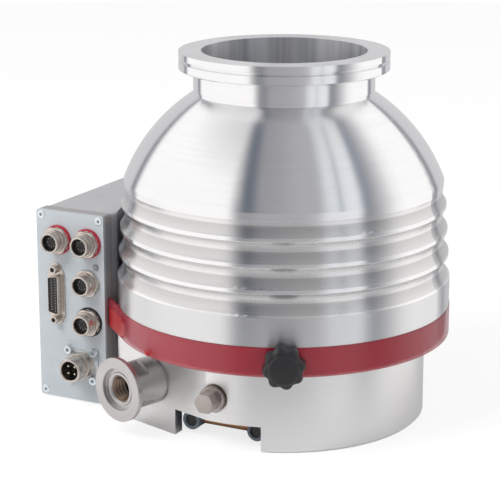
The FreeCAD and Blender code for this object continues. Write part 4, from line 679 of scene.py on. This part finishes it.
def make_round_sockets():
    places = [on_panel(x, z, lift) for x, z, lift in ROUND_SPOTS]
    washer, barrel, collar, nut = round_socket_profiles()
    piece("round_socket_shells", "connector_nickel", [
        (turned_shape(washer), places),
        (turned_shape(barrel), places),
        (turned_shape(collar), places),
        (turned_shape(nut, HEX_STEPS, chamfered_hex(NUT_ACROSS, NUT_CORNER)), places)],
        replaced=["round_sockets"])
    floor = ROUND_REACH - CORE_RECESS
    core = [(0.0, -ROUND_TAIL), (ROUND_BORE, -ROUND_TAIL), (ROUND_BORE, floor - 0.8),
            (ROUND_BORE - 0.9, floor - 0.8), (ROUND_BORE - 1.1, floor), (0.0, floor)]
    low, high = ROUND_BORE - 1.0, ROUND_BORE + 0.1
    key = [[(0.7, low, height), (0.7, high, height), (-0.7, high, height), (-0.7, low, height)]
           for height in (floor - 0.7, floor + 0.9)]
    piece("round_socket_cores", "insert_black", [
        (turned_shape(core), places), (pushed_shape(key), places)],
        replaced=["socket_inserts"])
    spots = []
    for matrix in places:
        for turn in range(CONTACT_COUNT):
            angle = 2 * math.pi * turn / CONTACT_COUNT
            spot = (CONTACT_CIRCLE * math.cos(angle), CONTACT_CIRCLE * math.sin(angle), floor)
            spots.append(matrix @ Matrix.Translation(spot))
    contact = contact_shape(hole=0.16, radius=0.34, depth=0.6, rise=0.08)
    piece("round_socket_contacts", "connector_nickel", [(contact, spots)])


# Service socket with its jack screws
SHELL_WIDTH = 8.0
SHELL_LENGTH = 26.0
SHELL_REACH = 5.5
SHELL_TAIL = 8.0
SHELL_WALL = 0.55
SHELL_FOOT = 1.2
SHELL_CORNER = 1.6
SHELL_INNER_CORNER = 1.2
SHELL_CORNER_STEPS = 5
SHELL_SLOPE = 0.18
SERVICE_FLANGE = 1.0
SERVICE_RIM = 0.25
LOBE_RADIUS = 4.4
LOBE_SHIFT = 0.6
LOBE_START = 15
LOBE_SWEEP = 150
LOBE_STEPS = 8
WAIST_HALF = 6.0
WAIST_MARGIN = 0.4
SERVICE_CORE_RECESS = 0.7
ROW_GAP = 2.84
CONTACT_ROWS = [(ROW_GAP / 2, 13), (-ROW_GAP / 2, 12)]
CONTACT_PITCH = 1.7664
JACK_PITCH = 33.3
JACK_ACROSS = 4.9
JACK_CORNER = JACK_ACROSS / 2 * 1.13
JACK_REACH = 5.6
JACK_TAIL = 4.0
JACK_SEAT = 0.9
JACK_SHANK = 1.7
JACK_BORE = 1.4
JACK_BORE_RECESS = 1.2
JACK_SHADE_RADIUS = 1.5


def shell_outline(grow, corner, height):
    """Long D outline with round corners: its right side is longer than its left."""
    width = SHELL_WIDTH + grow
    length = SHELL_LENGTH + grow
    half = width / 2
    lean = width * SHELL_SLOPE / 2
    corners = [(-half, -length / 2 + lean * 2), (half, -length / 2), (half, length / 2),
               (-half, length / 2 - lean * 2)]
    points = []
    for index, middle in enumerate(corners):
        before, after = corners[index - 1], corners[(index + 1) % 4]
        middle = Vector(middle)
        start = middle + (Vector(before) - middle).normalized() * corner
        end = middle + (Vector(after) - middle).normalized() * corner
        for step in range(SHELL_CORNER_STEPS + 1):
            share = step / SHELL_CORNER_STEPS
            point = start * (1 - share) ** 2 + middle * 2 * share * (1 - share) + end * share ** 2
            points.append((point.x, point.y, height))
    return points


def flange_outline(grow, height):
    """Plate outline: straight in the middle, with a round lobe about each jack screw."""
    lobe = LOBE_RADIUS + grow
    half = WAIST_HALF + grow
    waist = SHELL_LENGTH / 2 + WAIST_MARGIN
    points = []
    for side in (1, -1):
        points.append((half * side, -waist * side, height))
        points.append((half * side, waist * side, height))
        for step in range(LOBE_STEPS + 1):
            angle = math.radians(LOBE_START + LOBE_SWEEP * step / LOBE_STEPS)
            points.append((lobe * math.cos(angle) * side,
                           (JACK_PITCH / 2 - LOBE_SHIFT + lobe * math.sin(angle)) * side, height))
    return points


def make_service_shell(place):
    foot = SERVICE_FLANGE - 0.2
    plate = pushed_shape([flange_outline(0.0, 0.0), flange_outline(0.0, SERVICE_FLANGE - SERVICE_RIM),
                          flange_outline(-SERVICE_RIM, SERVICE_FLANGE)])
    outer = [shell_outline(SHELL_FOOT, SHELL_CORNER, foot),
             shell_outline(0.0, SHELL_CORNER, SERVICE_FLANGE + 0.6),
             shell_outline(0.0, SHELL_CORNER, SHELL_REACH - 0.2),
             shell_outline(-0.3, SHELL_CORNER, SHELL_REACH)]
    inside = [shell_outline(-SHELL_WALL * 2, SHELL_INNER_CORNER, height) for height in (foot, SHELL_REACH)]
    tail = pushed_shape([shell_outline(0.0, SHELL_CORNER, height) for height in (-SHELL_TAIL, 0.0)])
    piece("service_socket_shell", "connector_nickel", [
        (plate, place), (tube_between(outer, inside), place), (tail, place)], replaced=["service_socket"])


def make_service_contacts(place):
    face = SHELL_REACH - SERVICE_CORE_RECESS
    core = pushed_shape([shell_outline(-1.2, SHELL_INNER_CORNER, height)
                         for height in (SERVICE_FLANGE, face)])
    piece("service_socket_core", "insert_black", [(core, place)])
    spots = []
    for row, count in CONTACT_ROWS:
        for index in range(count):
            offset = (index - (count - 1) / 2) * CONTACT_PITCH
            spots.append(place[0] @ Matrix.Translation((row, offset, face)))
    contact = contact_shape(hole=0.15, radius=0.33, depth=0.5, rise=0.06)
    piece("service_socket_contacts", "connector_nickel", [(contact, spots)])


def make_jack_screws():
    jack = [(JACK_BORE, -JACK_TAIL), (JACK_SHANK, -JACK_TAIL), (JACK_SHANK, JACK_SEAT),
            (JACK_ACROSS, JACK_SEAT), (JACK_ACROSS, JACK_REACH), (2.1, JACK_REACH), (1.6, JACK_REACH),
            (JACK_BORE, JACK_REACH - 0.3)]
    sides = [on_panel(SERVICE_SPOT[0], SERVICE_SPOT[1] + JACK_PITCH / 2 * sign) for sign in (-1, 1)]
    piece("service_jacks", "connector_nickel", [
        (turned_shape(jack, SCREW_STEPS, chamfered_hex(JACK_ACROSS, JACK_CORNER)), sides)],
        replaced=["jack_screws"])
    # Painted shade: a black core in each jack screw's bore stands for the shade there
    floor = JACK_REACH - JACK_BORE_RECESS
    depth = [(0.0, 0.0), (JACK_SHADE_RADIUS, 0.0), (JACK_SHADE_RADIUS, floor), (0.0, floor)]
    piece("service_jack_painted_shade", "insert_black", [(turned_shape(depth, SMALL_STEPS), sides)])


def make_service_socket():
    place = [on_panel(*SERVICE_SPOT)]
    make_service_shell(place)
    make_service_contacts(place)
    make_jack_screws()


# Power socket: barrel, plate, pins and screws
POWER_RADIUS = 8.0
POWER_BORE = 6.1
POWER_TAIL = 4.0
POWER_WIDE = 8.7
POWER_WIDE_REACH = 7.6
POWER_REACH = 16.5
POWER_FLOOR = 5.0
POWER_PLATE = 24.0
PLATE_CORNER = 3.0
PLATE_CORNER_STEPS = 6
PLATE_THICKNESS = 0.8
PLATE_RIM = 0.3
PIN_COUNT = 4
PIN_CIRCLE = 3.3
PIN_START = 4.0
PIN_REACH = 14.1
PIN_RADIUS = 0.85
POWER_SCREW_PITCH = 18.4
POWER_SCREW_SOCKET = 1.3
PANEL_SCREW_SOCKET = 1.1
# Width of a screw socket's hexagon, per radius of the round socket in the profile
SOCKET_ACROSS = 1.8


def rounded_square(width, corner, height):
    points = []
    for quarter in range(4):
        base = math.radians(90 * quarter + 45)
        centre = Vector((math.cos(base), math.sin(base))) * (width / 2 - corner) * math.sqrt(2)
        for step in range(PLATE_CORNER_STEPS + 1):
            angle = math.radians(90 * quarter + 90 * step / PLATE_CORNER_STEPS)
            points.append((centre.x + corner * math.cos(angle), centre.y + corner * math.sin(angle), height))
    return points


def recessed_screw(radius, height, socket, depth, shank, length):
    """Profile of a button-headed screw with a socket in it, whose hexagon comes from a rule."""
    return [(0.0, height - depth), (socket, height - depth), (socket, height - 0.12),
            (socket + 0.15, height), (radius - 0.55, height), (radius - 0.12, height - 0.45),
            (radius, height - 0.9), (radius, 0.0), (shank, 0.0), (shank, -length), (0.0, -length)]


def socket_rule(socket):
    """Rule that brings the points at a screw socket's radius onto a hexagon."""
    def rule(radius, height, angle):
        if abs(radius - socket) < NEAR:
            return hex_reach(socket * SOCKET_ACROSS, angle), height
        return radius, height
    return rule


def make_power_socket():
    place = [on_panel(*POWER_SPOT)]
    reach = POWER_REACH
    foot = POWER_WIDE + 0.5
    slim = POWER_RADIUS - 0.3
    barrel = [(POWER_BORE, -POWER_TAIL), (POWER_RADIUS, -POWER_TAIL), (POWER_RADIUS, 0.0), (foot, 0.0),
              (foot, PLATE_THICKNESS + 0.9), (POWER_WIDE, PLATE_THICKNESS + 1.2),
              (POWER_WIDE, POWER_WIDE_REACH - 0.4), (POWER_WIDE - 0.4, POWER_WIDE_REACH),
              (slim, POWER_WIDE_REACH), (slim, POWER_WIDE_REACH + 0.8),
              (POWER_RADIUS, POWER_WIDE_REACH + 1.0), (POWER_RADIUS, reach - 0.9),
              (POWER_RADIUS - 0.7, reach), (POWER_BORE + 0.5, reach), (POWER_BORE, reach - 0.5)]
    piece("power_socket_barrel", "connector_nickel", [(turned_shape(barrel, BARREL_STEPS), place)],
          replaced=["power_socket"])
    plate = pushed_shape([rounded_square(POWER_PLATE, PLATE_CORNER, 0.0),
                          rounded_square(POWER_PLATE, PLATE_CORNER, PLATE_THICKNESS - PLATE_RIM),
                          rounded_square(POWER_PLATE - PLATE_RIM * 2, PLATE_CORNER, PLATE_THICKNESS)])
    piece("power_socket_plate", "panel_grey", [(plate, place)])
    core = [(0.0, 0.0), (POWER_BORE, 0.0), (POWER_BORE, POWER_FLOOR), (POWER_BORE - 1.2, POWER_FLOOR),
            (POWER_BORE - 1.4, POWER_FLOOR + 1.0), (0.0, POWER_FLOOR + 1.0)]
    piece("power_socket_core", "insert_black", [(turned_shape(core), place)])
    pin = [(0.0, PIN_START), (PIN_RADIUS, PIN_START), (PIN_RADIUS, PIN_REACH - 0.9),
           (PIN_RADIUS - 0.15, PIN_REACH - 0.4), (PIN_RADIUS - 0.5, PIN_REACH - 0.1), (0.0, PIN_REACH)]
    pins = [place[0] @ Matrix.Rotation(math.radians(45) + 2 * math.pi * turn / PIN_COUNT, 4, "Z")
            @ Matrix.Translation((PIN_CIRCLE, 0, 0)) for turn in range(PIN_COUNT)]
    piece("power_socket_pins", "gold_pin", [(turned_shape(pin, SMALL_STEPS), pins)], replaced=["power_pins"])
    half = POWER_SCREW_PITCH / 2
    spots = [on_panel(POWER_SPOT[0] + half * x, POWER_SPOT[1] + half * z, PLATE_THICKNESS)
             for x in (-1, 1) for z in (-1, 1)]
    screw = recessed_screw(radius=3.0, height=3.0, socket=POWER_SCREW_SOCKET, depth=1.8, shank=1.35,
                           length=4.4)
    piece("power_plate_screws", "zinc_screw", [
        (turned_shape(screw, SCREW_STEPS, socket_rule(POWER_SCREW_SOCKET)), spots)],
        replaced=["power_screws"])


def make_panel_screws():
    spots = [on_panel(x, z) for x, z in PANEL_SCREW_SPOTS]
    socket = PANEL_SCREW_SOCKET
    screw = [(0.0, -1.0), (socket, -1.0), (socket, 0.1), (1.25, 0.2), (2.4, 0.2), (2.75, 0.0),
             (2.5, -1.2), (1.3, -2.0), (1.3, -6.8), (0.0, -6.8)]
    piece("panel_socket_screws", "zinc_screw", [
        (turned_shape(screw, SCREW_STEPS, socket_rule(socket)), spots)], replaced=["panel_screws"])


# Fore-vacuum flange, with a thread in its bore and wrench flats on its tube, and a black core in its bore
# that is painted shade
PORT_TUBE = 14.75
PORT_REACH = 28.3
PORT_RIM = 20.0
PORT_RIM_EDGE = 0.35
PORT_BORE = 7.8
PORT_DEEP_BORE = 6.6
PORT_DEEP_START = 8.0
PORT_RECESS = 13.0
PORT_RECESS_DEPTH = 3.0
PORT_SHADE_RADIUS = 6.9
PORT_SHADE_START = 2.0
PORT_SHADE_END = 15.0
PORT_THREAD = 7.6
PORT_THREAD_DEPTH = 1.3
PORT_THREAD_PITCH = 2.4
FLAT_REACH = 13.1
FLAT_LOW = 11.5
FLAT_HIGH = 23.4
FLAT_MIDDLE = math.radians(65)


def port_flats(radius, height, angle):
    """Cuts a wrench flat into each of two opposite sides of the tube."""
    if abs(radius - PORT_TUBE) > NEAR or not FLAT_LOW < height < FLAT_HIGH:
        return radius, height
    toward = abs(math.cos(angle - FLAT_MIDDLE))
    if toward * radius <= FLAT_REACH:
        return radius, height
    return FLAT_REACH / toward, height


def make_port():
    place = [seat(PORT_SPOT, PORT_OUT)]
    face = PORT_REACH
    floor = face - PORT_RECESS_DEPTH
    profile = [(PORT_DEEP_BORE, 0.0), (PORT_TUBE - 0.9, 0.0), (PORT_TUBE - 0.9, 1.2),
               (PORT_TUBE - 0.2, 1.3), (PORT_TUBE, 1.6), (PORT_TUBE, FLAT_LOW), (PORT_TUBE, FLAT_LOW + 0.3),
               (PORT_TUBE, FLAT_HIGH - 0.3), (PORT_TUBE, FLAT_HIGH), (PORT_RIM - 0.5, 24.9),
               (PORT_RIM, 25.4), (PORT_RIM, face - PORT_RIM_EDGE), (PORT_RIM - PORT_RIM_EDGE, face),
               (PORT_RECESS + 0.4, face), (PORT_RECESS, face - 0.4), (PORT_RECESS, floor + 0.2),
               (PORT_RECESS - 0.2, floor), (10.6, floor), (10.3, floor + 0.7), (8.9, floor + 0.8),
               (8.2, floor + 0.2), (PORT_BORE, floor - 0.4), (PORT_BORE, PORT_DEEP_START),
               (PORT_DEEP_BORE, PORT_DEEP_START)]
    piece("fore_vacuum_port", "port_steel", [(turned_shape(profile, PORT_STEPS, port_flats), place)],
          replaced=["fore_vacuum_flange"])
    liner = [(8.0, 9.0), (8.0, floor - 0.2), (7.7, floor - 0.2)]
    liner += thread(PORT_THREAD, PORT_THREAD_DEPTH, floor - 0.4, 9.2, PORT_THREAD_PITCH)
    piece("fore_vacuum_thread", "washer_copper", [(turned_shape(liner, BARREL_STEPS), place)])
    # Painted shade: a black core deep in the bore stands for the shade there
    core = [(0.0, PORT_SHADE_START), (PORT_SHADE_RADIUS, PORT_SHADE_START), (PORT_SHADE_RADIUS, PORT_SHADE_END),
            (0.0, PORT_SHADE_END)]
    piece("fore_vacuum_painted_shade", "insert_black", [(turned_shape(core), place)])


# Purge plug: its hexagon, the collar under it, its shank and its washer
PLUG_ACROSS = 11.6
PLUG_CORNER = PLUG_ACROSS / 2 * 1.155
PLUG_REACH = 13.7
PLUG_SHANK = 4.8
PLUG_COLLAR = 8.1
PLUG_RING = 8.4
PLUG_RING_BORE = 4.9
PLUG_RING_THICKNESS = 0.9


def make_plug():
    place = [seat(PLUG_SPOT, FRONT)]
    shank = [(0.0, -9.5), (PLUG_SHANK, -9.5), (PLUG_SHANK, 1.0), (PLUG_COLLAR - 0.4, 1.0),
             (PLUG_COLLAR, 1.4), (PLUG_COLLAR, 4.2), (PLUG_COLLAR - 0.4, 4.8), (0.0, 4.8)]
    head = [(0.0, 4.6), (PLUG_ACROSS, 4.6), (PLUG_ACROSS, PLUG_REACH),
            (PLUG_ACROSS / 2 - 0.25, PLUG_REACH), (0.0, PLUG_REACH)]
    washer = [(PLUG_RING_BORE, 0.0), (PLUG_RING, 0.0), (PLUG_RING, PLUG_RING_THICKNESS),
              (PLUG_RING_BORE, PLUG_RING_THICKNESS)]
    piece("purge_plug_turned", "plug_steel", [
        (turned_shape(shank), place),
        (turned_shape(head, HEX_STEPS, chamfered_hex(PLUG_ACROSS, PLUG_CORNER)), place)],
        replaced=["purge_plug"])
    piece("purge_plug_ring", "washer_copper", [(turned_shape(washer), place)],
          replaced=["purge_washer"])


# Vent knob
KNOB_RADIUS = 12.75
KNOB_THICKNESS = 12.0
KNOB_LOBES = 8
KNOB_FACE = 9.4
VALLEY_DEPTH = 1.75
VALLEY_SHARPNESS = 1.3
KNOB_TURN = math.radians(10.0)


def knob_lobes(radius, height, angle):
    """Brings the rim in between round lobes."""
    if radius < KNOB_FACE:
        return radius, height
    wave = (1 - math.cos(KNOB_LOBES * (angle - KNOB_TURN))) / 2
    share = (radius - KNOB_FACE) / (KNOB_RADIUS - KNOB_FACE)
    return radius - VALLEY_DEPTH * wave ** VALLEY_SHARPNESS * share, height


def make_knob():
    top = KNOB_THICKNESS
    profile = [(0.0, 0.0), (10.9, 0.0), (12.2, 0.5), (KNOB_RADIUS, 1.7), (KNOB_RADIUS, top - 3.2),
               (12.4, top - 2.1), (11.7, top - 1.3), (10.6, top - 0.8), (KNOB_FACE, top - 0.6),
               (9.2, top + 0.3), (8.8, top + 0.75), (8.0, top + 0.95), (0.0, top + 1.0)]
    piece("vent_knob_moulded", "knob_black", [
        (turned_shape(profile, KNOB_STEPS, knob_lobes), [seat(KNOB_SPOT, VENT_OUT)])],
        body="vent_handle", replaced=["vent_knob"], crease=40.0)


# Studio: a white room whose grey and dark cards show as stripes in turned metal.
# Each card is given by the azimuth of the metal that shows it, in degrees from the camera's side.
GREY = rgb(0.335, 0.335, 0.35)
LIGHT_GREY = rgb(0.41, 0.41, 0.42)
MIDDLE_GREY = rgb(0.55, 0.55, 0.56)
BLUE_DARK = rgb(0.12, 0.14, 0.175)
BLUE_GREY = rgb(0.24, 0.26, 0.30)
SOFT_GREY = rgb(0.31, 0.31, 0.33)
PALE = rgb(0.70, 0.73, 0.76)
LIGHT_PALE = rgb(0.80, 0.82, 0.85)
SOFT_WHITE = rgb(0.88, 0.87, 0.87)
WHITE = rgb(1.0, 1.0, 1.0)
WARM_WHITE = rgb(1.0, 0.985, 0.98)
FAR_GREY = rgb(0.60, 0.60, 0.61)
LINE = rgb(0.22, 0.23, 0.26)
STRIPES = [
    (-90.0, FAR_GREY), (-72.0, FAR_GREY), (-71.0, LINE), (-68.5, LINE), (-66.0, WARM_WHITE),
    (-20.4, WARM_WHITE), (-18.0, MIDDLE_GREY), (-16.4, GREY), (-15.0, BLUE_DARK), (-12.6, BLUE_DARK),
    (-9.0, SOFT_GREY), (-3.0, GREY), (6.0, LIGHT_GREY), (12.5, LIGHT_GREY), (16.0, PALE), (19.4, PALE),
    (20.3, BLUE_GREY), (21.4, PALE), (27.0, LIGHT_PALE), (29.6, BLUE_GREY), (31.5, BLUE_GREY),
    (35.0, LIGHT_GREY), (38.5, FAR_GREY), (43.0, SOFT_WHITE), (48.0, WARM_WHITE), (66.0, WARM_WHITE),
    (68.5, LINE), (71.0, LINE), (72.0, FAR_GREY), (90.0, FAR_GREY),
]
CEILING_SHADE = rgb(0.6, 0.6, 0.6)
MIRROR_STRENGTH = 1.06
# The least tone of the cards at and below the horizon, which show in the skirt and the lands
LOW_TONES = [
    (-90.0, 0.21), (-22.0, 0.21), (-17.0, 0.33), (-12.0, 0.35), (-9.0, 0.39), (6.0, 0.40), (11.0, 0.48),
    (15.0, 0.76), (27.0, 0.84), (29.6, 0.27), (33.0, 0.27), (37.0, 0.21), (90.0, 0.21),
]
LOW_BLUE = 1.03
# Cards well below the horizon, which show in the hollows' upper halves
BELOW_CARDS = [
    (-90.0, FAR_GREY), (-70.0, GREY), (-62.0, BLUE_GREY), (-54.0, BLUE_GREY), (-46.0, WHITE),
    (54.0, WHITE), (60.0, MIDDLE_GREY), (74.0, MIDDLE_GREY), (90.0, FAR_GREY),
]
# Where ceiling, low tones and cards below set in and are full, by the height of a direction of length 1
CEILING_SPAN = (0.65, 1.0)
LOW_SPAN = (-0.05, -0.25)
BELOW_SPAN = (-0.34, -0.5)
AMBIENT = 0.62


def make_world():
    world = bpy.data.worlds.new("studio")
    bpy.context.scene.world = world
    world.use_nodes = True
    world.node_tree.nodes.clear()
    graph = Graph(world.node_tree)
    direction = graph.add("TexCoord").outputs["Generated"]
    ahead = compass(CAMERA_AZIMUTH)
    across = graph.dot(direction, ahead.cross(-UP))
    depth = graph.math("ADD", graph.dot(direction, ahead), math.cos(math.radians(CAMERA_ELEVATION)))
    share = graph.math("ADD", graph.math("DIVIDE", graph.math("ARCTAN2", across, depth), math.pi), 0.5)
    height = graph.dot(direction, UP)

    def cards(stops):
        return graph.ramp(share, [(at / 180.0 + 0.5, colour) for at, colour in stops])

    shade = graph.blend(graph.passage(height, *CEILING_SPAN), WHITE, CEILING_SHADE)
    stripes = graph.blend(1.0, cards(STRIPES), shade, "DARKEN")
    low = cards([(at, rgb(tone, tone, tone * LOW_BLUE)) for at, tone in LOW_TONES])
    stripes = graph.blend(graph.passage(height, *LOW_SPAN), stripes, low, "LIGHTEN")
    stripes = graph.blend(graph.passage(height, *BELOW_SPAN), stripes, cards(BELOW_CARDS), "MULTIPLY")
    path = graph.add("LightPath").outputs
    shown = graph.add("Background", {"Color": WHITE, "Strength": 1.0}).outputs[0]
    mirrored = graph.add("Background", {"Color": stripes, "Strength": MIRROR_STRENGTH}).outputs[0]
    ambient = graph.add("Background", {"Color": WHITE, "Strength": AMBIENT}).outputs[0]
    lit = graph.add("MixShader", {0: path["Is Glossy Ray"], 1: ambient, 2: mirrored}).outputs[0]
    clear = graph.math("MAXIMUM", path["Is Camera Ray"], path["Is Transmission Ray"])
    whole = graph.add("MixShader", {0: clear, 1: lit, 2: shown}).outputs[0]
    graph.add("OutputWorld", {"Surface": whole})


FLOOR_RADIUS = 2.0
FLOOR_DROP = 0.2 * MM
FLOOR_COLOUR = rgb(0.9, 0.9, 0.9)
FLOOR_SHOWN_RADIUS = 0.19
FLOOR_FADE = 0.3
FLOOR_SHADE = 0.3
FLOOR_GLOW = 1.12


def make_floor():
    """White floor that keeps a soft shadow. Beyond a short way, metal sees the room instead."""
    bpy.ops.mesh.primitive_circle_add(vertices=96, radius=FLOOR_RADIUS, fill_type="NGON",
                                      location=UP * -FLOOR_DROP)
    floor = bpy.context.object
    floor.name = "studio_floor"
    material = bpy.data.materials.new("studio_floor")
    material.use_nodes = True
    material.node_tree.nodes.clear()
    graph = Graph(material.node_tree)
    matt = graph.add("BsdfDiffuse", {"Color": FLOOR_COLOUR}).outputs[0]
    glow = graph.add("Emission", {"Color": WHITE, "Strength": FLOOR_GLOW}).outputs[0]
    path = graph.add("LightPath").outputs
    keep = graph.math("SUBTRACT", 1.0, graph.math("MULTIPLY", path["Is Camera Ray"], 1.0 - FLOOR_SHADE))
    shown = graph.add("MixShader", {0: keep, 1: glow, 2: matt}).outputs[0]
    place = graph.add("TexCoord").outputs["Object"]
    reach = graph.add("VectorMath", {0: place}, operation="LENGTH").outputs["Value"]
    beyond = graph.passage(reach, FLOOR_SHOWN_RADIUS * (1 - FLOOR_FADE),
                           FLOOR_SHOWN_RADIUS * (1 + FLOOR_FADE))
    open_share = graph.math("MULTIPLY", path["Is Glossy Ray"], beyond)
    nothing = graph.add("BsdfTransparent").outputs[0]
    whole = graph.add("MixShader", {0: open_share, 1: shown, 2: nothing}).outputs[0]
    graph.add("OutputMaterial", {"Surface": whole})
    floor.data.materials.append(material)


# Lamps: name, degrees from the camera's side, distance in plan, height, width and power
LAMPS = [("key", -55.0, 1.3, 1.3, 0.9, 17.0), ("fill", 50.0, 1.6, 0.8, 1.2, 5.0)]
LAMP_AIM = Vector((-0.02, 0, 0.11))


def area_light(name, spot, size, power):
    """Round lamp that lights, but shows in no reflection."""
    data = bpy.data.lights.new(name, "AREA")
    data.shape = "DISK"
    data.size = size
    data.energy = power
    item = bpy.data.objects.new(name, data)
    bpy.context.scene.collection.objects.link(item)
    item.location = spot
    item.rotation_mode = "QUATERNION"
    item.rotation_quaternion = (LAMP_AIM - spot).to_track_quat("-Z", "Y")
    item.visible_glossy = False
    item.visible_camera = False
    item.visible_transmission = False


def make_lights():
    for name, turn, away, height, size, power in LAMPS:
        area_light(name, compass(CAMERA_AZIMUTH + turn) * away + UP * height, size, power)


def make_camera():
    data = bpy.data.cameras.new("camera")
    data.lens = CAMERA_LENS
    data.sensor_width = SENSOR_WIDTH
    camera = bpy.data.objects.new("camera", data)
    bpy.context.scene.collection.objects.link(camera)
    rise = math.radians(CAMERA_ELEVATION)
    back = compass(CAMERA_AZIMUTH) * math.cos(rise) + UP * math.sin(rise)
    camera.location = CAMERA_TARGET + back * CAMERA_DISTANCE
    camera.rotation_mode = "QUATERNION"
    camera.rotation_quaternion = (-back).to_track_quat("-Z", "Y")
    bpy.context.scene.camera = camera


finish_nodes()
round_edges("base_body")
make_round_sockets()
make_service_socket()
make_power_socket()
make_panel_screws()
make_port()
make_plug()
make_knob()
make_world()
make_floor()
make_lights()
make_camera()
bpy.context.scene.view_settings.view_transform = "Standard"
